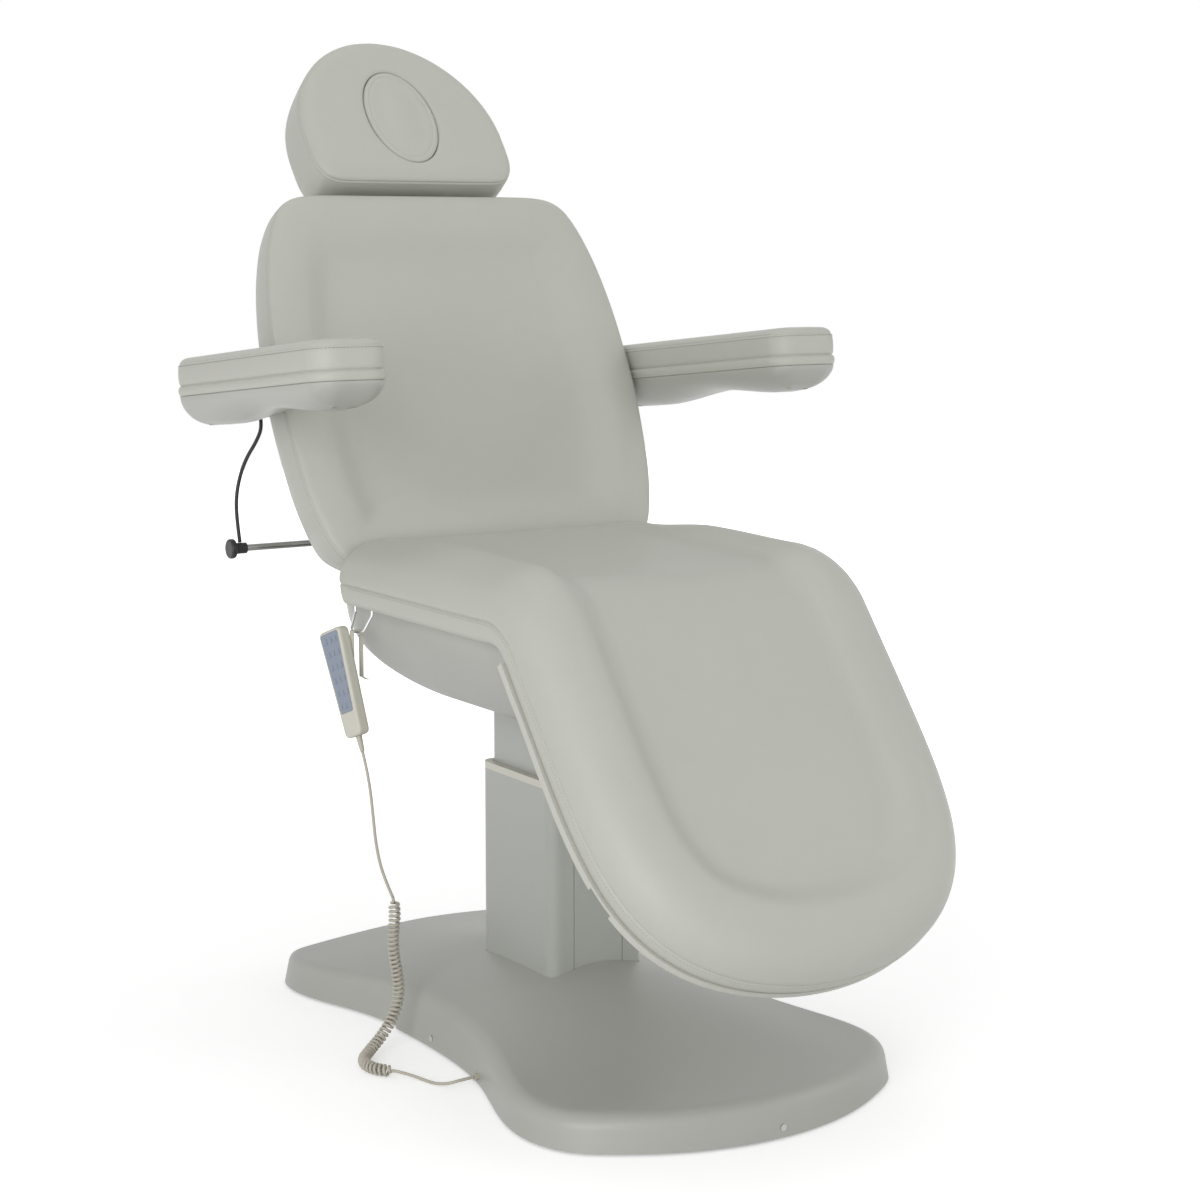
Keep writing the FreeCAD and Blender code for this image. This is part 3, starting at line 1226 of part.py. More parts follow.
# Actuators: jacket on the seat frame, rod with a slotted end round the lever's pin
def actuator(name, hinge, length, half_turn, side, ahead):
    """Jacket and rod of one actuator; ahead is the way that the rod goes out, along Y."""
    turn = math.radians(half_turn)
    pin_y = hinge.y + length * math.sin(turn)
    high_z = hinge.z - length * math.cos(turn)
    low_z = hinge.z - length
    axis_z = 0.5 * (high_z + low_z)
    travel = 2 * length * math.sin(turn)
    x = side * size.lever_x
    slot_half = size.crank_radius + size.yoke_slack
    cheek = slot_half + 8
    yoke = bar(x - 0.5 * size.yoke_width, x + 0.5 * size.yoke_width, pin_y - cheek, pin_y + cheek,
               low_z - slot_half - 7, high_z + slot_half + 7)
    slot = bar(x - size.yoke_width, x + size.yoke_width, pin_y - slot_half, pin_y + slot_half,
               low_z - slot_half, high_z + slot_half)
    rod_end = pin_y - ahead * (cheek - 1)
    clear = travel if ahead > 0 else 0
    mouth = pin_y - ahead * (cheek + 8 + clear)
    rod_start = mouth - ahead * (travel if ahead < 0 else 0.5 * travel) - ahead * 20
    low, high = sorted((rod_start, rod_end))
    stem = Part.makeCylinder(size.ram_rod_radius, high - low, Vec(x, low, axis_z), Y_AXIS)
    tail_end = mouth - ahead * size.jacket_length
    low, high = sorted((mouth, tail_end))
    jacket = Part.makeCylinder(size.jacket_radius, high - low, Vec(x, low, axis_z), Y_AXIS)
    deep = tail_end + ahead * 12
    low, high = sorted((mouth + ahead, deep))
    bore = Part.makeCylinder(size.ram_rod_radius + size.running_gap, high - low, Vec(x, low, axis_z), Y_AXIS)
    motor_half = 0.42 * size.motor_width
    low, high = sorted((tail_end, tail_end - ahead * size.motor_length))
    motor = bar(x - motor_half, x + motor_half, low, high, axis_z - size.jacket_radius,
                axis_z + size.jacket_radius)
    frame_low = size.board_bottom - size.rail_rise - 0.3
    hangers = []
    for end in (-1, 1):
        y = size.column_y + end * size.post_y
        if min(mouth, tail_end) + 10 < y < max(mouth, tail_end) - 10:
            hangers.append(bar(x - 8, x + 8, y - 12, y + 12, axis_z, frame_low))
    feature(f"{name}_actuator", joined([jacket, motor, *hangers]).cut(bore))
    feature(f"{name}_actuator_rod", joined([yoke.cut(slot), stem]))
    print(f"{name} actuator: stroke {travel:.2f} over {2 * half_turn} degrees")


actuator("back", back_hinge, size.back_lever, 0.5 * size.back_travel, 1, 1)
actuator("leg", knee, size.leg_lever, 0.5 * size.leg_travel, -1, -1)

# Handset: built upright, then leaned, turned and hung beside the seat
handset_middle = at(-size.seat_half - size.handset_out, size.handset_y, size.handset_z)
upright = FreeCAD.Rotation(X_AXIS, 90)
turned = FreeCAD.Rotation(Z_AXIS, size.handset_turn)
leaned = FreeCAD.Rotation(Z_AXIS, size.handset_lean)
hand_place = FreeCAD.Placement(handset_middle, turned.multiply(upright).multiply(leaned))
half_length = 0.5 * size.handset_length


def handset_outline(inset, z, top_pull=0, low_pull=0):
    """The handset in front view: wider at the top, rounded corners."""
    top, low = half_length - inset - top_pull, -half_length + inset + low_pull
    top_half, low_half = size.handset_top_half - inset, size.handset_low_half - inset
    corner = max(size.handset_corner - inset, 1.5)
    side = corner * (1 - math.sqrt(0.5))
    place = lambda px, py: Vec(px, py, z)
    return loop([
        (place(-low_half + corner, low), place(low_half - corner, low)),
        (place(low_half - corner, low), place(low_half - side, low + side), place(low_half, low + corner)),
        (place(low_half, low + corner), place(top_half, top - corner)),
        (place(top_half, top - corner), place(top_half - side, top - side), place(top_half - corner, top)),
        (place(top_half - corner, top), place(-top_half + corner, top)),
        (place(-top_half + corner, top), place(-top_half + side, top - side), place(-top_half, top - corner)),
        (place(-top_half, top - corner), place(-low_half, low + corner)),
        (place(-low_half, low + corner), place(-low_half + side, low + side), place(-low_half + corner, low)),
    ])


front_shell = loft([handset_outline(0, 0.1), handset_outline(0, 0.6 * size.handset_front),
                    handset_outline(1, 0.88 * size.handset_front), handset_outline(3, size.handset_front)])
rear_shell = loft([handset_outline(4, -size.handset_rear), handset_outline(1.2, -0.85 * size.handset_rear),
                   handset_outline(0, -0.5 * size.handset_rear), handset_outline(0, -0.1)])
keypad_low = size.handset_front - size.keypad_thick + 0.2
keypad_foot = 0.2 * size.handset_length
recess_loop = handset_outline(size.keypad_inset - 0.3, keypad_low, 0, keypad_foot - 0.6)
recess = Part.Face(recess_loop).extrude(Vec(0, 0, size.handset_front))
feature("handset_case_front", front_shell.cut(recess), hand_place)
feature("handset_case_rear", rear_shell, hand_place)
keypad = Part.Face(handset_outline(size.keypad_inset, keypad_low + 0.1, 0, keypad_foot)).extrude(
    Vec(0, 0, size.keypad_thick))
keys = [keypad]
key_top = half_length - size.keypad_inset - 12
key_span = size.handset_length - keypad_foot - 2 * size.keypad_inset - 22
rows = int(size.key_rows)
for row in range(rows):
    y = key_top - key_span * row / (rows - 1)
    for column in (-1, 0, 1):
        x = column * 12.5
        keys.append(bar(x - 4, x + 4, y - 4, y + 4, keypad_low + 0.1,
                        keypad_low + 0.1 + size.keypad_thick + size.key_rise))
feature("handset_keypad", joined(keys), hand_place)

# Wire hook under the seat board and the clip that hangs on it
hang_place = FreeCAD.Placement(handset_middle, turned.multiply(upright))
wire_x, wire_y = 4, 0.9 * half_length
clip_front = -size.handset_rear - 0.1
clip_thick = 1.2
wire_z = clip_front - clip_thick - size.clip_gap
clip_outer = wire_z - size.clip_gap
clip_top = wire_y + size.hook_wire + size.fit_gap
clip_half = 5
clip_foot = wire_y - size.clip_leg
kick = bar(wire_x - clip_half, wire_x + clip_half, 0, clip_thick, -size.clip_kick, 0)
kick.rotate(Vec(), X_AXIS, -30)
kick.translate(Vec(0, clip_foot, clip_outer))
clip_parts = [
    bar(wire_x - clip_half, wire_x + clip_half, 0.5 * wire_y, clip_top + clip_thick,
        clip_front - clip_thick, clip_front),
    bar(wire_x - clip_half, wire_x + clip_half, clip_top, clip_top + clip_thick,
        clip_outer - clip_thick, clip_front),
    bar(wire_x - clip_half, wire_x + clip_half, clip_foot, clip_top + clip_thick,
        clip_outer - clip_thick, clip_outer),
    kick,
]
feature("handset_clip", joined(clip_parts), hang_place)
wire_middle = hang_place.multVec(Vec(wire_x, wire_y, wire_z))
wire_along = hang_place.Rotation.multVec(X_AXIS)
hook_top = size.board_bottom - 0.1
hook_x = -size.seat_half + 15
hook_reach = 16
hook_stem = 9
first, last = wire_middle - wire_along * hook_reach, wire_middle + wire_along * hook_reach
rear_leg_y, front_leg_y = first.y + 0.5 * hook_reach, last.y - hook_reach
hook_route = [
    Vec(hook_x, rear_leg_y, hook_top), Vec(hook_x, rear_leg_y, hook_top - hook_stem),
    first, last,
    Vec(hook_x, front_leg_y, hook_top - hook_stem), Vec(hook_x, front_leg_y, hook_top),
]
hook_path, hook_radii = cord_wire(hook_route, 0.3)
feature("handset_hook", tube_along(hook_path, size.hook_wire))
print("hook at", [round(v, 2) for v in wire_middle], "along", [round(v, 4) for v in wire_along],
      "radii", [round(r) for r in hook_radii])

relief = Part.makeCone(size.relief_radius, 0.7 * size.relief_radius, size.relief_length,
                       Vec(0, -half_length - size.fit_gap, 0), Vec(0, -1, 0))
feature("strain_relief", relief, hand_place)
cord_top = hand_place.multVec(Vec(0, -half_length - 2 * size.fit_gap - size.relief_length, 0))

# Handset cord: straight upper stretch, curls, straight lower stretch
cord_way = hand_place.Rotation.multVec(Y_AXIS) * -1
upper_route = [cord_top, cord_top + cord_way * 28, at(-309, 57.5, 412), at(-305, 57.5, 370), at(-301.5, 56, 325),
               at(-294, 50, 280), at(-281, 42, 244)]
cord("handset_cord_upper", upper_route, size.cord_radius)

curl_route = [
    upper_route[-1], at(-278, 39.6, 222), at(-282, 40, 192), at(-283, 40, 160), at(-277, 40, 127),
    at(-273, 40, 96), at(-278, 40, 70), at(-290, 39, 46), at(-310, 34, 26), at(-338, 20, 13),
    at(-358, 0, 10.4), at(-365, -25, 10.2), at(-361.5, -46, 10.2), at(-352, -61.5, 10.3),
    at(-340, -72, 10.2),
]
lower_route = [
    curl_route[-1], at(-328.6, -82.6, 7.6), at(-318.5, -99, 4.8), at(-311.5, -119.5, 3.2),
    at(-306, -142, 4.6), at(-296, -160, 9), at(-280.4, -168, 13.8), gland_end - X_AXIS * size.fit_gap,
]
lead = 2 * size.cord_radius
upper_way = upper_route[-1] - upper_route[-2]
upper_way.normalize()
lower_way = lower_route[1] - lower_route[0]
lower_way.normalize()
curl_points = [curl_route[0] + upper_way * lead] + curl_route[1:-1] + [curl_route[-1] - lower_way * lead]
line_edge = smooth_curve(curl_points, upper_way, lower_way)


def line_frames(steps):
    """Points along the curls' middle line, each with a frame carried along without twist."""
    length = line_edge.Length
    frames = []
    across = None
    for step in range(steps + 1):
        parameter = line_edge.getParameterByLength(length * step / steps)
        point = line_edge.valueAt(parameter)
        along = line_edge.tangentAt(parameter)
        if across is None:
            across = along.cross(Y_AXIS)
        across = across - along * across.dot(along)
        across.normalize()
        frames.append((point, along, Vec(across), along.cross(across)))
    return frames


half_turns = 2 * int(size.curl_turns)
fine = 8
frames = line_frames(half_turns * fine)


def curl_point(step):
    """A point of the helix; the wire leaves and rejoins the middle line over the end turns."""
    point, along, across, over = frames[step]
    turn = math.pi * step / fine
    ends = min(step, half_turns * fine - step) / (2.0 * fine)
    ramp = min(1.0, ends)
    swell = size.curl_radius * ramp * ramp * (3 - 2 * ramp)
    return point + across * (swell * math.cos(turn)) + over * (swell * math.sin(turn))


helix = [curl_point(step) for step in range(half_turns * fine + 1)]


def middle_of_arc(start, end, along):
    """The middle of the arc from start to end that sets out along a direction."""
    chord = end - start
    reach = chord.Length
    chord.normalize()
    side = along - chord * along.dot(chord)
    angle = along.getAngle(chord)
    if side.Length < 1e-9:
        return None
    side.normalize()
    return (start + end) * 0.5 + side * (0.5 * reach * math.tan(0.5 * angle))


def biarc(start, start_along, end, end_along):
    """Two tangent arcs between two points with directions."""
    gap = end - start
    both = start_along + end_along
    spread = 2 * (1 - start_along.dot(end_along))
    dot = gap.dot(both)
    if spread < 1e-9:
        reach = gap.dot(gap) / (4 * gap.dot(end_along))
    else:
        reach = (-dot + math.sqrt(dot * dot + spread * gap.dot(gap))) / spread
    joint = (start + end + (start_along - end_along) * reach) * 0.5
    edges = []
    for first, last, along in ((start, joint, start_along), (joint, end, None)):
        if along is None:
            middle = middle_of_arc(last, first, end_along * -1)
        else:
            middle = middle_of_arc(first, last, along)
        if middle is None:
            edges.append(Part.LineSegment(first, last).toShape())
        else:
            edges.append(Part.Arc(first, middle, last).toShape())
    return edges


def curl_along(step):
    if step == 0:
        return Vec(frames[0][1])
    if step == half_turns * fine:
        return Vec(frames[-1][1])
    way = helix[step + 1] - helix[step - 1]
    way.normalize()
    return way


curl_edges = [Part.LineSegment(curl_route[0], helix[0]).toShape()]
for number in range(half_turns):
    low, high = number * fine, (number + 1) * fine
    curl_edges += biarc(helix[low], curl_along(low), helix[high], curl_along(high))
curl_edges.append(Part.LineSegment(helix[-1], curl_route[-1]).toShape())
curl_wire = Part.Wire(curl_edges)
curl_solid = tube_along(curl_wire, size.cord_radius)
near, further = 2 * fine - 3, 5 * fine
least = min((here - there).Length for step, here in enumerate(helix)
            for there in helix[step + near:step + further])
print(f"curls: wire {curl_wire.Length:.0f}, middle line {line_edge.Length:.0f}, "
      f"least gap {least - 2 * size.cord_radius:.2f}, "
      f"volume ratio {curl_solid.Volume / (math.pi * size.cord_radius ** 2 * curl_wire.Length):.4f}")
feature("handset_cord_curl", curl_solid)

cord("handset_cord_lower", lower_route, size.cord_radius)

# Check and write every piece
doc.recompute()
for obj in doc.Objects:
    if "Invalid" in obj.State or "Error" in obj.State:
        raise RuntimeError(f"{obj.Name} failed: {obj.State}")
os.makedirs("parts", exist_ok=True)
for obj in NODES:
    shape = obj.Shape
    if shape.isNull() or not shape.isValid():
        raise RuntimeError(f"{obj.Label} has no valid shape")
for obj in NODES:
    obj.Shape.exportStep(f"parts/{obj.Label}.step")
print(f"{len(NODES)} pieces")
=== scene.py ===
# %% [markdown]
# # An electric treatment chair
# The chair has a lifting column on a low base, a seat that runs over the knee into a leg rest, a
# back, a headrest with a loose face plug, two swinging arms and a corded handset. Its hard parts
# come finished from the CAD frame. This lesson makes what CAD is poor at: stretched vinyl over
# foam, a curly cord, and the surface of every material.

# %% Load the CAD frame
import math

import bmesh
import bpy
import numpy as np
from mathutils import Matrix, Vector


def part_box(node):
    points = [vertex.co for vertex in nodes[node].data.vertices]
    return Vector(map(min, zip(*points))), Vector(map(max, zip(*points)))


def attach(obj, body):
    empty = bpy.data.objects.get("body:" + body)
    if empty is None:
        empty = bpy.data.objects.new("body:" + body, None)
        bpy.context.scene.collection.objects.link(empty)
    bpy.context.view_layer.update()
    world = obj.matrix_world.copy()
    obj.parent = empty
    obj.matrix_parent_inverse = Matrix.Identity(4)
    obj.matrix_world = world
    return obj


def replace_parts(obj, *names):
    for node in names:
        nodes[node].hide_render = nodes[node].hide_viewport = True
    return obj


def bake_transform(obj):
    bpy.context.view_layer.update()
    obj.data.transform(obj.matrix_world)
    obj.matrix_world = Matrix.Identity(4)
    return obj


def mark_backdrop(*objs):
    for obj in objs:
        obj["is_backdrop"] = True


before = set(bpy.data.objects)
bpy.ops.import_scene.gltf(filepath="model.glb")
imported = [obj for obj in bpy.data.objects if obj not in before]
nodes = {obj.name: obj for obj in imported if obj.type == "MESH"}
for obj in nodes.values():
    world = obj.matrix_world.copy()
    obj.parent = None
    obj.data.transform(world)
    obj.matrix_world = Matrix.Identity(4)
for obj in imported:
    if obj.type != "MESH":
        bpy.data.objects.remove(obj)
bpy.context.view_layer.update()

# %% [markdown]
# ## Camera
# The photograph was taken from the front, to the chair's right hand, with a long lens a little
# above seat height. The camera's place was solved from the chair's own straight edges, so it is
# written down as numbers and not set by eye.

# %% Camera
SENSOR = 36.0
FOCAL_SHARE = 1.98951          # focal length over the picture's side
CAMERA_PLACE = (-1.94435, -3.12580, 1.24537)
CAMERA_DOWN = math.radians(8.5247)
CAMERA_TURN = math.radians(-32.674)


def photo_camera():
    """A square camera at a place, turned about the vertical and tipped down."""
    data = bpy.data.cameras.new("photo_camera")
    data.sensor_width = SENSOR
    data.lens = SENSOR * FOCAL_SHARE
    camera = bpy.data.objects.new("photo_camera", data)
    camera.location = CAMERA_PLACE
    camera.rotation_euler = (math.pi / 2 - CAMERA_DOWN, 0, CAMERA_TURN)
    bpy.context.scene.collection.objects.link(camera)
    bpy.context.scene.camera = camera
    return camera


print("camera lens", round(photo_camera().data.lens, 2))

# %% [markdown]
# ## Small tools for surfaces
# Every new piece is a grid of points: rows run one way over the surface and columns run round
# it. The same few lines turn a grid into faces, weld the rows that shrink to a point, and turn all
# faces outwards.

# %% Grids into meshes


def smooth_step(share):
    """0 to 1 with level ends: 3t^2 - 2t^3, held at 0 and 1 outside."""
    held = np.clip(share, 0, 1)
    return held * held * (3 - 2 * held)


def rolled(share):
    """Height of a quarter circle: sqrt(1 - (1 - t)^2), from 0 at the seam to 1 at the crest."""
    return np.sqrt(1 - (1 - np.clip(share, 0, 1)) ** 2)


def unit(vectors):
    """Each vector divided by its own length."""
    return vectors / np.linalg.norm(vectors, axis=-1, keepdims=True)


def grid_quads(rows, columns, rows_close=False):
    """Four corners per face: (r, c), (r, c+1), (r+1, c+1), (r+1, c), columns closing on themselves."""
    r, c = np.meshgrid(np.arange(rows if rows_close else rows - 1), np.arange(columns), indexing="ij")
    down, right = (r + 1) % rows, (c + 1) % columns
    corners = [r * columns + c, r * columns + right, down * columns + right, down * columns + c]
    return np.stack(corners, -1).reshape(-1, 4)


def new_piece(name, points, faces, skin):
    """A smooth mesh object at the origin, with doubles merged and faces turned outwards."""
    mesh = bpy.data.meshes.new(name)
    mesh.from_pydata(points.reshape(-1, 3).tolist(), [], faces.tolist())
    work = bmesh.new()
    work.from_mesh(mesh)
    bmesh.ops.remove_doubles(work, verts=work.verts, dist=2e-6)
    bmesh.ops.dissolve_degenerate(work, edges=work.edges, dist=1e-6)
    bmesh.ops.recalc_face_normals(work, faces=work.faces)
    work.to_mesh(mesh)
    work.free()
    mesh.polygons.foreach_set("use_smooth", np.ones(len(mesh.polygons), bool))
    mesh.materials.append(skin)
    piece = bpy.data.objects.new(name, mesh)
    bpy.context.scene.collection.objects.link(piece)
    print(name, len(mesh.polygons), "faces")
    return piece


def grid_piece(name, grid, skin, rows_close=False):
    """A piece from rows x columns x 3 points."""
    return new_piece(name, grid, grid_quads(*grid.shape[:2], rows_close), skin)


# %% [markdown]
# ## Shared surface effects
# Vinyl, moulded plastic and paint all have a slow change of tone and a fine relief. Each effect is
# a node group made once, with named sockets, so that every material can use it at its own scale.
# The shader itself stays in the material.

# %% Node groups


def effect_group(name, inputs, outputs):
    """An empty shader group with its sockets, and the nodes at its two ends."""
    group = bpy.data.node_groups.new(name, "ShaderNodeTree")
    for label, kind, value in inputs:
        socket = group.interface.new_socket(label, in_out="INPUT", socket_type=kind)
        if value is not None:
            socket.default_value = value
    for label, kind in outputs:
        group.interface.new_socket(label, in_out="OUTPUT", socket_type=kind)
    return group, group.nodes.new("NodeGroupInput"), group.nodes.new("NodeGroupOutput")


def set_inputs(tree, node, inputs):
    """Sets each named or numbered input of a node to a value, or links it where the value is a socket."""
    for label, value in inputs.items():
        if isinstance(value, bpy.types.NodeSocket):
            tree.links.new(value, node.inputs[label])
        else:
            node.inputs[label].default_value = value


def add_node(tree, kind, inputs, **settings):
    """A new node with its settings and inputs."""
    node = tree.nodes.new(kind)
    for label, value in settings.items():
        setattr(node, label, value)
    set_inputs(tree, node, inputs)
    return node


def math_node(tree, operation, first, second):
    """The result of two operands, each a socket or a number."""
    return add_node(tree, "ShaderNodeMath", {0: first, 1: second}, operation=operation).outputs[0]


def noise_node(tree, vector, scale, detail):
    """A noise texture at a vector, with a scale and a number of octaves."""
    return add_node(tree, "ShaderNodeTexNoise", {"Vector": vector, "Scale": scale, "Detail": detail})


def make_tone_drift():
    """Tone drift: two noises, one broad and one ten times finer, mixed 3 to 1 between two colours."""
    group, start, end = effect_group(
        "tone_drift",
        [("Vector", "NodeSocketVector", None), ("Scale", "NodeSocketFloat", 4.0),
         ("Dark", "NodeSocketColor", (0.4, 0.4, 0.4, 1)), ("Light", "NodeSocketColor", (0.5, 0.5, 0.5, 1))],
        [("Color", "NodeSocketColor"), ("Share", "NodeSocketFloat")])
    vector, scale, dark, light = (start.outputs[label] for label in ("Vector", "Scale", "Dark", "Light"))
    broad = noise_node(group, vector, scale, 3.0)
    fine = noise_node(group, vector, math_node(group, "MULTIPLY", scale, 10.0), 4.0)
    share = math_node(group, "ADD", math_node(group, "MULTIPLY", broad.outputs["Fac"], 0.75),
                      math_node(group, "MULTIPLY", fine.outputs["Fac"], 0.25))
    mix = add_node(group, "ShaderNodeMix", {"Factor": share, "A": dark, "B": light}, data_type="RGBA")
    set_inputs(group, end, {"Color": mix.outputs["Result"], "Share": share})
    return group


def make_skin_grain():
    """Pressed leather grain: the distance to the edges of small cells, plus a little pore noise."""
    group, start, end = effect_group(
        "skin_grain",
        [("Vector", "NodeSocketVector", None), ("Scale", "NodeSocketFloat", 620.0)],
        [("Height", "NodeSocketFloat")])
    vector, scale = start.outputs["Vector"], start.outputs["Scale"]
    warp, pores = noise_node(group, vector, 90.0, 2.0), noise_node(group, vector, 2400.0, 2.0)
    bend = add_node(group, "ShaderNodeVectorMath",
                    {0: warp.outputs["Color"], 1: (0.004, 0.004, 0.004), 2: vector}, operation="MULTIPLY_ADD")
    cells = add_node(group, "ShaderNodeTexVoronoi", {"Vector": bend.outputs[0], "Scale": scale},
                     feature="DISTANCE_TO_EDGE")
    crease = add_node(group, "ShaderNodeMapRange", {"Value": cells.outputs["Distance"], "From Max": 0.22},
                      interpolation_type="SMOOTHSTEP")
    pore = math_node(group, "MULTIPLY", pores.outputs["Fac"], 0.3)
    set_inputs(group, end, {"Height": math_node(group, "ADD", crease.outputs["Result"], pore)})
    return group


def make_fine_relief():
    """Moulded or sprayed relief: one noise at the given scale and one at a fifth of it."""
    group, start, end = effect_group(
        "fine_relief",
        [("Vector", "NodeSocketVector", None), ("Scale", "NodeSocketFloat", 900.0)],
        [("Height", "NodeSocketFloat")])
    vector, scale = start.outputs["Vector"], start.outputs["Scale"]
    fine = noise_node(group, vector, scale, 2.0)
    broad = noise_node(group, vector, math_node(group, "MULTIPLY", scale, 0.2), 1.0)
    set_inputs(group, end, {"Height": math_node(group, "ADD", fine.outputs["Fac"], broad.outputs["Fac"])})
    return group


tone_drift, skin_grain, fine_relief = make_tone_drift(), make_skin_grain(), make_fine_relief()
print("groups", [g.name for g in (tone_drift, skin_grain, fine_relief)])

# %% [markdown]
# ## Finishes
# One function builds every finish: a base colour that drifts by a few percent, a roughness that
# follows the same drift, and a relief from one of the two height groups. Only the numbers differ
# between vinyl, covers, paint, metal and rubber.

# %% Finishes
COAT_ROUGH = 0.12
ROUGH_SPREAD = 0.12              # roughness changes by this share of itself
NOISE_LOW, NOISE_HIGH = 0.3, 0.7           # nearly all of the mixed noise lies between these


def finish(name, colour, rough, drift=0.05, drift_scale=5.0, relief=None, relief_scale=900.0,
           relief_depth=0.0001, relief_strength=0.3, metal=0.0, coat=0.0, sheen=0.0):
    """Principled shader; colour (about 1 - drift to 1 + drift) and roughness follow the tone drift."""
    material = bpy.data.materials.new(name)
    material.use_nodes = True
    tree = material.node_tree
    shader = tree.nodes["Principled BSDF"]
    place = tree.nodes.new("ShaderNodeTexCoord").outputs["Object"]
    tone = add_node(tree, "ShaderNodeGroup", {
        "Vector": place, "Scale": drift_scale,
        "Dark": (*[c * (1 - 2 * drift) for c in colour], 1),
        "Light": (*[min(1.0, c * (1 + 2 * drift)) for c in colour], 1)}, node_tree=tone_drift)
    spread = add_node(tree, "ShaderNodeMapRange", {
        "Value": tone.outputs["Share"], "From Min": NOISE_LOW, "From Max": NOISE_HIGH,
        "To Min": rough * (1 - ROUGH_SPREAD), "To Max": min(1.0, rough * (1 + ROUGH_SPREAD))})
    set_inputs(tree, shader, {
        "Base Color": tone.outputs["Color"], "Roughness": spread.outputs["Result"], "Metallic": metal,
        "Coat Weight": coat, "Coat Roughness": COAT_ROUGH, "Sheen Weight": sheen})
    if relief is not None:
        height = add_node(tree, "ShaderNodeGroup", {"Vector": place, "Scale": relief_scale}, node_tree=relief)
        bump = add_node(tree, "ShaderNodeBump", {
            "Height": height.outputs["Height"], "Strength": relief_strength, "Distance": relief_depth})
        set_inputs(tree, shader, {"Normal": bump.outputs["Normal"]})
    return material


vinyl = finish("vinyl_upholstery", (0.485, 0.490, 0.440), 0.46, 0.03, 3.5, skin_grain, 620.0, 0.0002, 0.35,
               sheen=0.04)
thread = finish("vinyl_thread", (0.27, 0.27, 0.245), 0.75, 0.06, 60.0, fine_relief, 3000.0, 0.0001, 0.5)
cord_skin = finish("curly_cord_skin", (0.50, 0.47, 0.40), 0.42, 0.04, 12.0, fine_relief, 1500.0, 0.00005, 0.3)
finishes = {
    "vinyl": vinyl,
    "cover_plastic": finish("cover_plastic_satin", (0.42, 0.425, 0.39), 0.42, 0.03, 4.0,
                            fine_relief, 1300.0, 0.00008, 0.30),
    "column_paint": finish("column_paint_satin", (0.40, 0.41, 0.38), 0.36, 0.03, 4.0,
                           fine_relief, 420.0, 0.00008, 0.25, coat=0.08),
    "ivory_plastic": finish("ivory_plastic_satin", (0.60, 0.585, 0.51), 0.40, 0.03, 9.0,
                            fine_relief, 1500.0, 0.00006, 0.25),
    "frame_paint": finish("frame_paint_powder", (0.30, 0.30, 0.285), 0.5, 0.05, 8.0,
                          fine_relief, 700.0, 0.0001, 0.4),
    "plywood": finish("board_paint_pale", (0.55, 0.55, 0.50), 0.55, 0.05, 9.0,
                      fine_relief, 500.0, 0.0001, 0.35),
    "steel": finish("steel_turned", (0.52, 0.52, 0.51), 0.32, 0.06, 14.0,
                    fine_relief, 1600.0, 0.00003, 0.2, metal=1.0),
    "chrome_wire": finish("chrome_wire_bright", (0.72, 0.72, 0.72), 0.12, 0.03, 20.0, metal=1.0),
    "drive_plastic": finish("drive_plastic_grey", (0.36, 0.36, 0.34), 0.5, 0.05, 9.0,
                            fine_relief, 1200.0, 0.00008, 0.3),
    "dark_plastic": finish("dark_plastic_matt", (0.025, 0.025, 0.026), 0.5, 0.12, 15.0,
                           fine_relief, 1200.0, 0.00008, 0.35),
    "black_cord": finish("black_cord_woven", (0.018, 0.018, 0.019), 0.6, 0.15, 40.0,
                         fine_relief, 2500.0, 0.0001, 0.5),
    "foot_rubber": finish("foot_rubber_grey", (0.05, 0.05, 0.05), 0.75, 0.12, 20.0,
                          fine_relief, 1000.0, 0.0001, 0.4),
    "keypad_film": finish("keypad_film_blue", (0.22, 0.26, 0.33), 0.38, 0.04, 25.0,
                          fine_relief, 2200.0, 0.00004, 0.3, coat=0.15),
    "cord_plastic": cord_skin,
}
print("finishes", sorted(finishes))

# %% [markdown]
# ## Finishes on the CAD parts
# Each CAD part comes with a slot named after its material. The finish of that name takes its place.

# %% Finishes on the CAD parts
for name, node in nodes.items():
    slot = node.data.materials[0].name.split(".")[0]
    node.data.materials.clear()
    node.data.materials.append(finishes[slot])
print("CAD parts finished", len(nodes))

# %% [markdown]
# ## The handset's cord
# The cord leaves the handset's foot, hangs, turns into a curly stretch beside the base, lies down on
# the floor and goes into a gland in the base. Each stretch is one smooth NURBS line through the
# route's points. The plain stretches are tubes on that line, and the curl is a helix wound round it.

# %% Cord tools


def hanging_line(route):
    """Points read from the NURBS spline of order 3 whose control points are the route's."""
    curve = bpy.data.curves.new("route_line", "CURVE")
    curve.dimensions = "3D"
    curve.resolution_u = 20
    spline = curve.splines.new("NURBS")
    spline.points.add(len(route) - 1)
    spline.points.foreach_set("co", np.column_stack([route, np.ones(len(route))]).astype(np.float32).ravel())
    spline.order_u = 3
    spline.use_endpoint_u = True
    holder = bpy.data.objects.new("route_line", curve)
    bpy.context.scene.collection.objects.link(holder)
    bpy.context.view_layer.update()
    mesh = bpy.data.meshes.new_from_object(holder)
    read = np.empty(len(mesh.vertices) * 3, np.float32)
    mesh.vertices.foreach_get("co", read)
    bpy.data.objects.remove(holder)
    bpy.data.curves.remove(curve)
    bpy.data.meshes.remove(mesh)
    return read.reshape(-1, 3).astype(float)


def line_length(line):
    """Sum of the steps between the points."""
    return float(np.linalg.norm(np.diff(line, axis=0), axis=1).sum())


def run_along(line):
    """Length of the line up to each of its points."""
    return np.concatenate([[0], np.cumsum(np.linalg.norm(np.diff(line, axis=0), axis=1))])


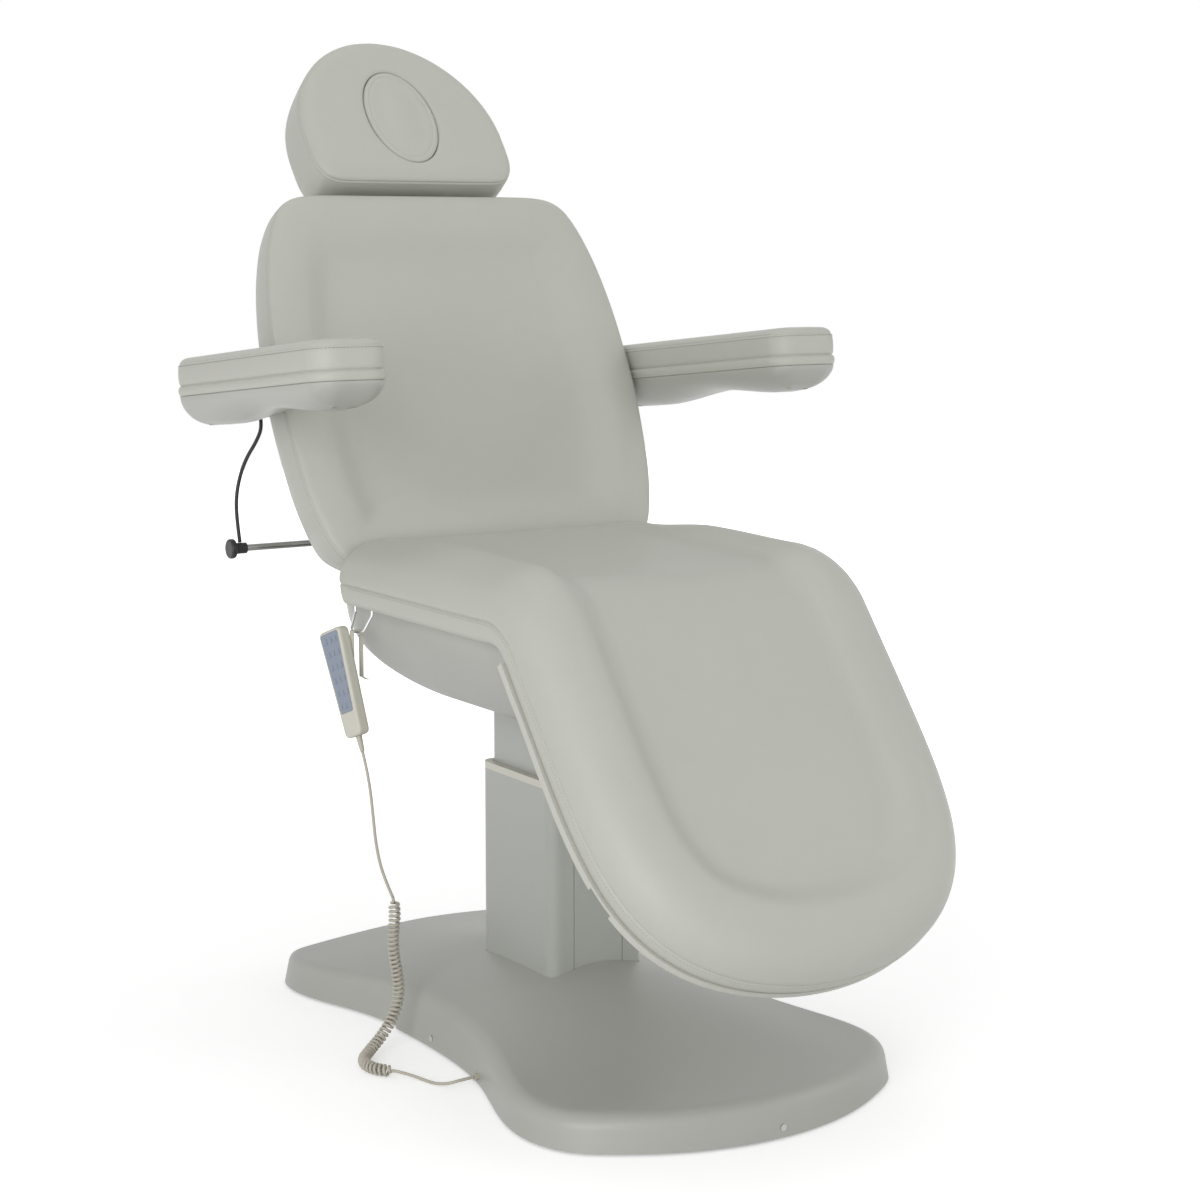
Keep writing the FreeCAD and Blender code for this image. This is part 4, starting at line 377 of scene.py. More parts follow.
def along_line(line, shares):
    """Points at shares of the line's length, straight between the points it was read at."""
    run = run_along(line)
    return np.stack([np.interp(shares * run[-1], run, line[:, k]) for k in range(3)], -1)


def carried_frame(line):
    """Two cross directions at each point; the first is carried on, less its part along the tangent."""
    tangents = unit(np.gradient(line, axis=0))
    across = np.empty_like(line)
    side = np.cross(tangents[0], (0.36, 0.48, 0.8))
    for row, tangent in enumerate(tangents):
        side = side - tangent * (side @ tangent)
        side = side / np.linalg.norm(side)
        across[row] = side
    return across, np.cross(tangents, across)


def cord_tube(name, line, diameter, skin, sides=12):
    """Rings of half the diameter round the line, closed with a point at each end."""
    across, other = carried_frame(line)
    turn = np.linspace(0, 2 * np.pi, sides, endpoint=False)[None, :, None]
    rings = line[:, None] + diameter / 2 * (np.cos(turn) * across[:, None] + np.sin(turn) * other[:, None])
    ends = [np.repeat(line[k][None, None], sides, 1) for k in (0, -1)]
    return grid_piece(name, np.concatenate([ends[0], rings, ends[1]]), skin)


def curly_line(line, turns, radius, per_turn=14, lead=0.0048):
    """Centre + radius (cos across + sin other), the radius growing from 0 over the first and last turn."""
    shares = np.linspace(0, 1, turns * per_turn + 1)
    centre = along_line(line, shares)
    across, other = carried_frame(centre)
    plain = lead / line_length(line)
    wound = np.clip((shares - plain) / (1 - 2 * plain), 0, 1)
    angle = (2 * np.pi * turns * wound)[:, None]
    swell = (radius * smooth_step(np.minimum(wound, 1 - wound) * turns))[:, None]
    return centre + swell * (np.cos(angle) * across + np.sin(angle) * other)


# %% Handset cord
MM = 0.001
COLUMN_SHIFT = np.array([0, 18.6, 0])      # the column's middle lies this far behind the part's
CORD_ACROSS = 0.0048
CURL_TURNS = 50
CURL_RADIUS = 0.0072
UPPER_ROUTE = (np.array([
    (-314.17, 72.25, 472.49), (-312.43, 62.37, 446.35), (-309, 57.5, 412), (-305, 57.5, 370),
    (-301.5, 56, 325), (-294, 50, 280), (-281, 42, 244)]) + COLUMN_SHIFT) * MM
CURL_ROUTE = (np.array([
    (-281, 42, 244), (-278, 39.6, 222), (-282, 40, 192), (-283, 40, 160), (-277, 40, 127), (-273, 40, 96),
    (-278, 40, 70), (-290, 39, 46), (-310, 34, 26), (-338, 20, 13), (-358, 0, 10.4), (-365, -25, 10.2),
    (-361.5, -46, 10.2), (-352, -61.5, 10.3), (-340, -72, 10.2)]) + COLUMN_SHIFT) * MM
LOWER_ROUTE = (np.array([
    (-340, -72, 10.2), (-328.6, -82.6, 7.6), (-318.5, -99, 4.8), (-311.5, -119.5, 3.2), (-306, -142, 4.6),
    (-296, -160, 9), (-280.4, -168, 13.8), (-259.1, -168, 14)]) + COLUMN_SHIFT) * MM

upper_line = hanging_line(UPPER_ROUTE)
upper_cord = cord_tube("handset_cord_straight", upper_line, CORD_ACROSS, cord_skin)
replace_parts(upper_cord, "handset_cord_upper")
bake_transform(upper_cord)

curl_wire = curly_line(hanging_line(CURL_ROUTE), CURL_TURNS, CURL_RADIUS)
curly_cord = cord_tube("handset_cord_curly", curl_wire, CORD_ACROSS, cord_skin, sides=10)
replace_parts(curly_cord, "handset_cord_curl")
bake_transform(curly_cord)

lower_line = hanging_line(LOWER_ROUTE)
lower_cord = cord_tube("handset_cord_tail", lower_line, CORD_ACROSS, cord_skin)
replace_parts(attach(lower_cord, "base"), "handset_cord_lower")
print("cord lengths", [round(line_length(line), 3) for line in (upper_line, curl_wire, lower_line)])

# %% [markdown]
# ## The paper roll's cords
# A rod behind the back carries a paper roll. It hangs from two black cords, one on each arm bracket,
# so each is a short taut line with a little slack in it.

# %% Roll cords
ROLL_CORD_ACROSS = 0.006
ROLL_ROUTE = np.array([
    (338, 388.9, 977.8), (338, 378.8, 954.9), (346, 385, 930), (358, 399, 903), (367, 408, 871),
    (372, 412, 836), (372, 409.5, 800), (370, 404.6, 766.4)]) * MM

for side in ("left", "right"):
    route = ROLL_ROUTE * (math.copysign(1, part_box(f"roll_cord_{side}")[0][0]), 1, 1)
    line = hanging_line(route)
    cord = cord_tube(f"roll_hanging_cord_{side}", line, ROLL_CORD_ACROSS, finishes["black_cord"])
    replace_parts(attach(cord, "back"), f"roll_cord_{side}")
    print(side, "roll cord", round(line_length(line), 3))

# %% [markdown]
# ## Seat and leg rest in one skin
# One cushion runs from the back, over the knee, to the round end of the leg rest, with raised
# borders and a dished middle. A loft would pinch where it bends, so the skin is worked out flat, as
# the maker cuts it: plan position x, way along w, and height h above the knee's axis. Then w is laid
# out straight over the seat, round the knee's axis and straight down the leg.

# %% Seat and leg plan
KNEE = np.array([0.0, -0.2614, 0.630])
KNEE_DROP = math.radians(51.5)
KNEE_RUN = 0.151                 # length of skin that goes round the knee
SEAT_HALF = 0.306
LEG_LENGTH = 0.553
LEG_SQUARE = 0.060               # length of leg with straight sides
LEG_POWER = 4.7
ROLL_WIDTH = 0.082
DISH_WIDTH = 0.052
DISH_DEPTH = 0.024
DISH_FALL, DISH_FALL_WIDTH = 0.2, 0.15     # the dish falls on by this share of its depth, over this width
DISH_REAR, DISH_REAR_RUN = 0.12, 0.30      # towards the back it fades to this share, over this length
CREST = 0.168
SEAT_LEVEL = 0.785               # height at which the seat's length is taken
BACK_HINGE = np.array([0.0, 0.2646, 0.696])
BACK_UP = np.array([0.0, 0.40354, 0.91496])
BACK_OUT = np.array([0.0, -0.91496, 0.40354])
BACK_FACE = 0.0894
SEAT_BACK_GAP = 0.0025


def over_knee(x, w, h):
    """Lays a plan point over the chair: straight for w < 0, about the knee's axis, then straight down."""
    angle = np.clip(w / KNEE_RUN, 0, 1) * KNEE_DROP
    run = np.minimum(w, 0) + np.maximum(w - KNEE_RUN, 0)
    y = KNEE[1] - np.cos(angle) * run - np.sin(angle) * h
    z = KNEE[2] - np.sin(angle) * run + np.cos(angle) * h
    return np.stack([x + 0 * y, y, z], -1)


def leg_half(w):
    """Half width: straight to the square, then half * sqrt(1 - share^4.7) to the round end."""
    share = np.clip((w - KNEE_RUN - LEG_SQUARE) / (LEG_LENGTH - LEG_SQUARE), 0, 1)
    return SEAT_HALF * np.sqrt(1 - share ** LEG_POWER)


def seat_rear_y(z):
    """Where the seat ends at height z: the gap before the back's sloping face."""
    return BACK_HINGE[1] - (BACK_FACE + SEAT_BACK_GAP - BACK_UP[1] * (z - BACK_HINGE[2])) / BACK_UP[2]


SEAT_REAR = KNEE[1] - seat_rear_y(SEAT_LEVEL)
leg_shares = 1 - (1 - np.linspace(0, 1, 96)) ** 2.2
seat_leg_w = np.concatenate([
    SEAT_REAR + np.array([0, 0.002, 0.005, 0.010, 0.016, 0.024]),
    np.linspace(SEAT_REAR + 0.034, -0.008, 40), np.linspace(0, KNEE_RUN, 22),
    KNEE_RUN + LEG_LENGTH * leg_shares[1:]])
edge = np.stack([leg_half(seat_leg_w), seat_leg_w], -1)
edge_along = unit(np.gradient(edge, axis=0))
edge_out = np.stack([edge_along[:, 1], -edge_along[:, 0]], -1)
edge_out[-1] = (0, 1)
print("seat and leg rows", len(edge))

# %% Seat and leg skin
LEG_DRAW, LEG_DRAW_SHARE = 0.007, 0.28     # the side draws in below this share of its height
SIDE_SWELL = 0.0015
BOARD_WRAP = 0.0118              # the seat's skin goes this far down, round the board's edge
SEAM_DEPTH = 0.0024
SEAM_WIDTH = 0.0013
SEAT_LOW, SEAT_SEAM = 0.0722, 0.092        # underside and seam of the seat above the knee's axis
LEG_LOW_MORE, LEG_SEAM_MORE = 0.003, 0.0092          # how much higher they are on the leg
REAR_ROUND, REAR_ROUND_RUN = 0.010, 0.022  # rounding of the seat's rear edge: drop and length
REAR_SLANT_RUN = 0.14            # length of seat that slants to lie along the back


def seam_groove(above):
    """Depth of a sewn seam at a distance above it: depth * exp(-(above / width)^2)."""
    return SEAM_DEPTH * np.exp(-(above / SEAM_WIDTH) ** 2)


def plan_gap(points, outline):
    """Least distance from each plan point to a finely drawn outline, row by row."""
    return np.stack([np.linalg.norm(row[:, None] - outline, axis=-1).min(-1) for row in points])


def stepped(at, places, values):
    """Values joined by smooth steps, level at each place."""
    cell = np.clip(np.searchsorted(places, at) - 1, 0, len(places) - 2)
    share = smooth_step((at - places[cell]) / (places[cell + 1] - places[cell]))
    return values[cell] + (values[cell + 1] - values[cell]) * share


def seat_leg_levels(w):
    """Underside, seam and crest height at w: the seat's values turn into the leg's round the knee."""
    share = np.clip(w / KNEE_RUN, 0, 1)
    places = np.array([SEAT_REAR - 0.001, -0.3907, -0.196, -0.004, 2.0])
    drop = stepped(w, places, np.array([0.013, 0.010, -0.004, 0.0, 0.0]))
    rear = REAR_ROUND * (1 - rolled((w - SEAT_REAR) / REAR_ROUND_RUN))
    return SEAT_LOW + LEG_LOW_MORE * share, SEAT_SEAM + LEG_SEAM_MORE * share, CREST - drop - rear


def half_profile():
    """Plan x, w and height over the right half: underside, side, rolled edge, dished middle."""
    low, seam, crest = [level[:, None] for level in seat_leg_levels(seat_leg_w)]
    corner = edge[:, None] - edge_out[:, None] * LEG_DRAW
    under = corner * np.array([0, 0.3, 0.6, 0.85, 0.9988])[None, :, None]
    under[..., 1] = corner[..., 1]
    rise = np.array([0, 0.04, 0.12, 0.25, 0.45, 0.65, 0.8, 0.89, 0.94, 0.97, 1.0])
    inset = LEG_DRAW * (1 - rolled(rise / LEG_DRAW_SHARE)) - SIDE_SWELL * np.sin(np.pi * rise)
    hem = low - BOARD_WRAP * (1 - smooth_step(seat_leg_w[:, None] / KNEE_RUN))
    side_h = hem + (seam - hem) * rise
    theta = np.radians([0.8, 1.7, 3, 5, 8, 12, 17, 23, 30, 38, 46, 55, 64, 73, 82, 90])
    roll_inset = ROLL_WIDTH * (1 - np.cos(theta))
    roll_h = seam + (crest - seam) * np.sin(theta)
    insets = np.concatenate([inset, roll_inset])
    heights = np.concatenate([side_h, roll_h], 1)
    rim = edge[:, None] - edge_out[:, None] * (insets + seam_groove(heights - seam))[..., None]
    inwards = np.array([0.94, 0.88, 0.81, 0.73, 0.64, 0.55, 0.45, 0.34, 0.22, 0.11, 0])
    inner = rim[:, -1:] * inwards[None, :, None]
    inner[..., 1] = rim[:, -1:, 1]
    gap = plan_gap(inner, np.concatenate([[(SEAT_HALF, SEAT_REAR - 0.3)], edge]))
    dish = DISH_DEPTH * smooth_step((gap - ROLL_WIDTH) / DISH_WIDTH)
    dish += DISH_FALL * DISH_DEPTH * smooth_step((gap - ROLL_WIDTH - DISH_WIDTH) / DISH_FALL_WIDTH)
    dish *= DISH_REAR + (1 - DISH_REAR) * smooth_step((seat_leg_w[:, None] - SEAT_REAR) / DISH_REAR_RUN)
    plan = np.concatenate([under, rim, inner], 1)
    height = np.concatenate([low + 0 * under[..., 0], heights, crest - dish], 1)
    return plan[..., 0], plan[..., 1], height


def seat_leg_grid():
    """The right half and its mirror as closed rows, slanted at the rear to lie along the back."""
    x, w, h = half_profile()
    x = np.concatenate([x, -x[:, -2:0:-1]], 1)
    w, h = (np.concatenate([part, part[:, -2:0:-1]], 1) for part in (w, h))
    grid = over_knee(x, w, h)
    slant = 1 - smooth_step((w - SEAT_REAR) / REAR_SLANT_RUN)
    grid[..., 1] += slant * (seat_rear_y(grid[..., 2]) - seat_rear_y(SEAT_LEVEL))
    middle = grid[0].mean(0)
    caps = [middle + (grid[0] - middle) * share for share in (0.0, 0.5, 0.9)]
    return np.concatenate([np.stack(caps), grid])


seat_leg = grid_piece("seat_leg_upholstery", seat_leg_grid(), vinyl)
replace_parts(seat_leg, "seat_cushion", "knee_cushion", "leg_cushion")
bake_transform(seat_leg)

# %% [markdown]
# ## Stitches
# A row of stitches runs beside each seam. Every stitch is a short, four-sided thread that lies on
# the skin, turned along the seam, so a metre of sewing stays light.

# %% Stitch rows
STITCH_PITCH = 0.0055
STITCH_LENGTH = 0.0038
THREAD_HALF = 0.00050
STITCH_BELOW = 0.0045            # rows run this far below their seam
STITCH_INSET = 0.0003            # and this far inside a boxed cushion's outline
SEAT_SEWN_FROM = 8               # the first rows, at the rear, have no stitches


def stitch_row(name, path, outward):
    """At even steps along the path, a thread: four rings of four corners, thin at both ends."""
    run = line_length(path)
    count = int(run / STITCH_PITCH)
    shares = (np.arange(count) + 0.5) / count
    centre = along_line(path, shares)
    ahead = unit(along_line(path, shares + 0.0005 / run) - along_line(path, shares - 0.0005 / run))
    rows = run_along(path) / run
    up = unit(np.stack([np.interp(shares, rows, outward[:, k]) for k in range(3)], -1))
    across = unit(np.cross(ahead, up))
    where = np.array([-0.5, -0.3, 0.3, 0.5])[:, None] * STITCH_LENGTH
    thick = np.array([0.4, 1, 1, 0.4])[:, None] * THREAD_HALF
    lift = np.array([-0.2, 0.5, 0.5, -0.2])[:, None] * THREAD_HALF
    turn = np.radians([45, 135, 225, 315])[None]
    offsets = [where + 0 * turn, thick * np.cos(turn), thick * np.sin(turn) + lift]
    points = centre[:, None, None] + sum(
        off[None, :, :, None] * way[:, None, None] for off, way in zip(offsets, (ahead, across, up)))
    faces = np.concatenate([grid_quads(4, 4), [[3, 2, 1, 0], [12, 13, 14, 15]]])
    faces = (faces[None] + 16 * np.arange(count)[:, None, None]).reshape(-1, 4)
    return new_piece(name, points, faces, thread)


def seat_leg_seam(rise):
    """A line round the seat and leg at a height above the seam, with its outward directions."""
    rows = slice(SEAT_SEWN_FROM, None)
    seam = seat_leg_levels(seat_leg_w[rows])[1] + rise
    near, far = edge[rows] + edge_out[rows] * 0.0002, edge[rows] + edge_out[rows] * 0.0102
    right = over_knee(near[:, 0], near[:, 1], seam)
    away = unit(over_knee(far[:, 0], far[:, 1], seam) - right)
    mirror = np.array([-1, 1, 1])
    return np.concatenate([right, right[-2::-1] * mirror]), np.concatenate([away, away[-2::-1] * mirror])


seat_stitches = stitch_row("seat_leg_stitches", *seat_leg_seam(-STITCH_BELOW))
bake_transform(seat_stitches)

# %% [markdown]
# ## Boxed cushions
# The back, the headrest, the face plug and the arm pads are all boxed cushions: a front panel, a side
# band, and a seam between them. One grid serves them all. Its columns go round the outline; its rows
# go from the middle of the front, over the rolled edge, down the side and in to the middle of the rear.

# %% Boxed cushion tools


def closed_outline(corners, count):
    """A closed Catmull-Rom curve through plan points, cut into equal lengths; outward normals beside it."""
    before, after, beyond = (np.roll(corners, shift, 0) for shift in (1, -1, -2))
    t = np.linspace(0, 1, 40, endpoint=False)[None, :, None]
    p0, p1, p2, p3 = before[:, None], corners[:, None], after[:, None], beyond[:, None]
    curve = 0.5 * (2 * p1 + (p2 - p0) * t + (2 * p0 - 5 * p1 + 4 * p2 - p3) * t ** 2
                   + (3 * p1 - p0 - 3 * p2 + p3) * t ** 3)
    ring = curve.reshape(-1, 2)
    ring = np.concatenate([ring, ring[:1]])
    run = run_along(ring)
    even = np.linspace(0, run[-1], count, endpoint=False)
    points = np.stack([np.interp(even, run, ring[:, k]) for k in (0, 1)], -1)
    along = unit(np.roll(points, -1, 0) - np.roll(points, 1, 0))
    return points, np.stack([along[:, 1], -along[:, 0]], -1)


def mirrored(right_side):
    """Plan points up the right side, then the same points down the left."""
    right = np.array(right_side, float)
    left = right[right[:, 0] > 1e-9][::-1] * (-1, 1)
    return np.concatenate([right, left])


def boxed_plan(outline, away, insets, spine, front_shares, rear_shares):
    """Plan rows: spine to front edge, the outline moved in by each inset, rear edge to spine."""
    rim = outline[None] - away[None] * insets[:, None, None]

    def towards(edge_row, shares):
        middle = np.stack([0 * edge_row[:, 0], np.clip(edge_row[:, 1], *spine)], -1)
        return middle[None] + (edge_row - middle)[None] * np.array(shares)[:, None, None]

    return np.concatenate([towards(rim[0], front_shares), rim, towards(rim[-1], rear_shares[::-1])])


def placed(plan, height, origin, up, out, x_middle=0.0):
    """Plan x, a and height into the chair: origin + x across + a up + height out."""
    across = np.array([1.0, 0, 0])
    return (origin + (plan[..., :1] + x_middle) * across + plan[..., 1:] * up + height[..., None] * out)


FRONT_SHARES = (0, 0.12, 0.24, 0.36, 0.47, 0.57, 0.66, 0.74, 0.81, 0.87, 0.92, 0.96, 0.985)
REAR_SHARES = (0, 0.35, 0.7, 0.93)
ROLL_INSETS = np.array([12, 9, 6.6, 4.7, 3.2, 2.0, 1.1, 0.5, 0.2, 0.05]) * MM
SIDE_SHARES = np.array([1.0, 0.985, 0.97, 0.94, 0.88, 0.75, 0.6, 0.45, 0.3, 0.18, 0.09, 0.03, 0])
REAR_TURN = np.array([0.0006, 0.0022, 0.006])        # the last three side rows turn in to the rear


def boxed_rim(seam, drop, roll, rear, draw, swell):
    """Insets and heights of the rim: a roll above the seam, then a side drawn in by draw * (1 - t)^1.6."""
    side = draw * (1 - SIDE_SHARES) ** 1.6 - swell * np.sin(np.pi * SIDE_SHARES)
    side[-3:] += REAR_TURN
    height = np.concatenate([seam + drop * rolled(ROLL_INSETS / roll), rear + (seam - rear) * SIDE_SHARES])
    return np.concatenate([ROLL_INSETS, side]) + seam_groove(height - seam), height


def boxed_heights(front, rim, rear, columns):
    """Heights of all rows: the front's own, one level for each rim row, one level for the rear."""
    levels = np.concatenate([rim, np.full(len(REAR_SHARES), rear)])
    return np.concatenate([front + np.zeros(columns), np.repeat(levels[:, None], columns, 1)])


print("boxed cushion rows", len(FRONT_SHARES) + len(ROLL_INSETS) + len(SIDE_SHARES) + len(REAR_SHARES))

# %% [markdown]
# ## Back
# The back is widest at the shoulders and rolled all round, with a dished middle. Its lower rear edge
# lifts to leave room for the hinge tube.

# %% Back upholstery
BACK_REAR = -0.0086
BACK_ROLL = 0.054
BACK_DISH = 0.027
BACK_SEAM_DROP = 0.014
BACK_STITCHES = BACK_FACE - BACK_SEAM_DROP - 0.005
BACK_DRAW, BACK_SWELL = 0.012, 0.002       # side drawn in at the rear, and swelled in its middle
BACK_FOOT = 0.010
BACK_DISH_WIDTH = 0.062
BACK_DISH_TOP, BACK_DISH_FADE = 0.655, 0.17          # the dish fades below this height
BACK_SPINE = (0.22, 0.43)
HINGE_LIFT, HINGE_LIFT_RUN = 0.028, 0.05   # the lower rear edge lifts over the hinge tube
BACK_SIDE = [(0, 10), (120, 10), (200, 10), (240, 10.5), (262, 15), (276, 26), (290, 45), (304, 75),
             (318, 130), (326, 190), (332, 285), (330, 360), (324, 440), (312, 515), (297, 570),
             (283, 604), (268, 627), (246, 642), (215, 648.5), (170, 650), (90, 650), (0, 650)]
back_edge, back_away = closed_outline(mirrored(BACK_SIDE) * MM, 320)


def back_grid():
    """Heights: seam + roll to the face, less a dish that fades at both ends; side drawn in to the rear."""
    seam = BACK_FACE - BACK_SEAM_DROP
    insets, rim_height = boxed_rim(seam, BACK_SEAM_DROP, BACK_ROLL, BACK_REAR, BACK_DRAW, BACK_SWELL)
    plan = boxed_plan(back_edge, back_away, insets, BACK_SPINE, FRONT_SHARES, REAR_SHARES)
    face = plan[:len(FRONT_SHARES)]
    gap = plan_gap(face, back_edge)
    depth = BACK_DISH * smooth_step((BACK_DISH_TOP - face[..., 1]) / BACK_DISH_FADE)
    front = seam + BACK_SEAM_DROP * rolled(gap / BACK_ROLL)
    front -= depth * smooth_step((gap - BACK_ROLL) / BACK_DISH_WIDTH)
    height = boxed_heights(front, rim_height, BACK_REAR, len(back_edge))
    rear = np.clip((seam - height) / (seam - BACK_REAR), 0, 1)
    height += rear * HINGE_LIFT * (1 - smooth_step((plan[..., 1] - BACK_FOOT) / HINGE_LIFT_RUN))
    return placed(plan, height, BACK_HINGE, BACK_UP, BACK_OUT)


back_cushion = grid_piece("back_upholstery", back_grid(), vinyl)
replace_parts(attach(back_cushion, "back"), "back_cushion")

# %% Back stitches


def boxed_seam(outline, away, inset, height, origin, up, out, x_middle=0.0):
    """A closed line round a boxed cushion at one height, and its outward directions."""
    plan = outline - away * inset
    level = np.full(len(plan), height)
    path = placed(plan, level, origin, up, out, x_middle)
    further = placed(plan + away * 0.01, level, origin, up, out, x_middle)
    return np.concatenate([path, path[:1]]), unit(np.concatenate([further - path, (further - path)[:1]]))


back_stitches = stitch_row("back_stitches", *boxed_seam(
    back_edge, back_away, STITCH_INSET, BACK_STITCHES, BACK_HINGE, BACK_UP, BACK_OUT))
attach(back_stitches, "back")

# %% [markdown]
# ## Headrest and face plug
# The headrest is domed above and squarer below, and an oval breathing hole goes through it. The grid
# closes both ways, like a tyre. The plug that fills the hole is its own small cushion, with a
# sewn groove inside its edge.

# %% Headrest upholstery
HEAD_HINGE = np.array([0.0, 0.53769, 1.27504])
HEAD_UP = np.array([0.0, 0.60182, 0.79864])
HEAD_OUT = np.array([0.0, -0.79864, 0.60182])
HEAD_FACE = 0.116
HEAD_REAR = 0.020
HEAD_SEAM_DROP = 0.014
HEAD_STITCHES = HEAD_FACE - HEAD_SEAM_DROP - STITCH_BELOW
HEAD_ROLL = 0.024
HEAD_DRAW, HEAD_SWELL = 0.003, 0.0015
HEAD_FOOT = 10                   # the lower end above the hinge, in mm as the outline
HEAD_WIDEST, HEAD_TOP = 100, 298           # heights above the lower end, in mm
HEAD_HALF, HEAD_BELOW = 188, 131           # half width, and reach of the curve below the widest line
HOLE_ROUND, HOLE_ROUND_RUN = 0.0035, 0.006           # the face turns in at the hole: drop and length
HOLE_MIDDLE = 0.140
HOLE_HALF = np.array([0.065, 0.097])


def head_half(along):
    """Half width in mm: half * sqrt(1 - f), f a power of the distance above or below the widest line."""
    above = np.clip((along - HEAD_WIDEST) / (HEAD_TOP - HEAD_WIDEST), 0, 1) ** 1.9
    below = np.clip((HEAD_WIDEST - along) / HEAD_BELOW, 0, 1) ** 4.7
    return HEAD_HALF * np.sqrt(1 - above - below)


head_levels = np.array([9, 18, 30, 44, 62, 85, 110, 140, 170, 200, 228, 252, 272, 286, 294])
head_side = [(0, 0), (60, 0), (110, 0), (140, 0.4), (156, 2.6)]
head_side += [(head_half(level), level) for level in head_levels] + [(0, HEAD_TOP)]
head_edge, head_away = closed_outline((mirrored(head_side) + (0, HEAD_FOOT)) * MM, 240)


def headrest_grid():
    """Rows: hole's front edge, face, rolled edge, side, rear, hole's wall; then closed on itself."""
    seam = HEAD_FACE - HEAD_SEAM_DROP
    from_middle = (head_edge - (0, HOLE_MIDDLE)) / HOLE_HALF
    hole = (0, HOLE_MIDDLE) + unit(from_middle) * HOLE_HALF
    insets, rim_height = boxed_rim(seam, HEAD_SEAM_DROP, HEAD_ROLL, HEAD_REAR, HEAD_DRAW, HEAD_SWELL)
    rim = head_edge[None] - head_away[None] * insets[:, None, None]
    shares = np.array([0, 0.02, 0.06, 0.13, 0.24, 0.38, 0.53, 0.66, 0.77, 0.86, 0.93, 0.98])[:, None, None]
    face = hole[None] + (rim[0] - hole)[None] * shares
    face_height = seam + HEAD_SEAM_DROP * rolled(plan_gap(face, head_edge) / HEAD_ROLL)
    face_height -= HOLE_ROUND * (1 - rolled(np.linalg.norm(face - hole[None], axis=-1) / HOLE_ROUND_RUN))
    rear = rim[-1][None] + (hole - rim[-1])[None] * np.array([0.2, 0.6, 1.0])[:, None, None]
    wall = np.repeat(hole[None], 3, 0)
    plan = np.concatenate([face, rim, rear, wall])
    levels = np.concatenate([rim_height, np.full(3, HEAD_REAR), HEAD_REAR + np.array([0.02, 0.05, 0.083])])
    height = np.concatenate([face_height, np.repeat(levels[:, None], len(head_edge), 1)])
    return placed(plan, height, HEAD_HINGE, HEAD_UP, HEAD_OUT)


headrest = grid_piece("headrest_upholstery", headrest_grid(), vinyl, rows_close=True)
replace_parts(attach(headrest, "headrest"), "headrest_cushion")
head_stitches = stitch_row("headrest_stitches", *boxed_seam(
    head_edge, head_away, STITCH_INSET, HEAD_STITCHES, HEAD_HINGE, HEAD_UP, HEAD_OUT))
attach(head_stitches, "headrest")

# %% Face plug
PLUG_CLEAR = 0.0008
PLUG_TOP = 0.1165
PLUG_REAR = HEAD_REAR + 0.002
PLUG_CROWN = 0.003
PLUG_ROLL, PLUG_ROLL_DROP = 0.008, 0.0050
GROOVE_INSET, GROOVE_WIDTH, GROOVE_DEPTH = 0.010, 0.0014, 0.0012
PLUG_SPINE = (0.115, 0.165)
plug_turn = np.linspace(0, 2 * np.pi, 120, endpoint=False)
plug_round = np.stack([np.cos(plug_turn), np.sin(plug_turn)], -1)
plug_edge = plug_round * (HOLE_HALF - PLUG_CLEAR) + (0, HOLE_MIDDLE)
plug_away = unit(plug_round / HOLE_HALF)


def plug_grid():
    """A crowned oval: a groove 10 mm inside its edge, a small roll, a straight wall and a flat rear."""
    insets = np.array([0.024, 0.019, 0.015, 0.0125, 0.011, 0.010, 0.009, 0.0075, 0.0055, 0.0035,
                       0.0018, 0.0006, 0, 0, 0, 0.001])
    roll = PLUG_ROLL_DROP * (1 - rolled(insets / PLUG_ROLL))
    groove = GROOVE_DEPTH * np.exp(-((insets - GROOVE_INSET) / GROOVE_WIDTH) ** 2)
    rim_height = PLUG_TOP - roll - groove
    rim_height[-4:] = (0.105, 0.06, 0.026, PLUG_REAR)
    plan = boxed_plan(plug_edge, plug_away, insets, PLUG_SPINE, FRONT_SHARES, REAR_SHARES)
    crown = PLUG_TOP + PLUG_CROWN * smooth_step(1 - np.array(FRONT_SHARES))[:, None]
    height = boxed_heights(crown, rim_height, PLUG_REAR, len(plug_edge))
    return placed(plan, height, HEAD_HINGE, HEAD_UP, HEAD_OUT)


face_plug = grid_piece("face_plug_upholstery", plug_grid(), vinyl)
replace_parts(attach(face_plug, "plug"), "face_plug")

# %% [markdown]
# ## Arm pads
# Each arm is a long rounded pad over a moulded shell. Under the pad runs a covered bead, so the
# profile has two swells with a sharp crease between them. It is carried round a rounded rectangle.

# %% Arm upholstery
ARM_PIVOT = np.array([0.407, 0.39696, 0.99611])
ARM_TILT = math.radians(5.5)
ARM_ALONG = np.array([0, math.cos(ARM_TILT), -math.sin(ARM_TILT)])
ARM_UP = np.array([0, math.sin(ARM_TILT), math.cos(ARM_TILT)])
ARM_HALF = 0.062
ARM_CORNER = 0.042
ARM_NOSE, ARM_TAIL = -0.492, 0.036
ARM_SPINE = (ARM_NOSE + ARM_HALF, ARM_TAIL - ARM_HALF)
ARM_MIDDLE = ARM_PIVOT * (0, 1, 1)
ARM_CROWN = 0.0022
ARM_STITCHES, ARM_STITCH_INSET = 0.0560, 0.0009      # height above the pivot, and inset


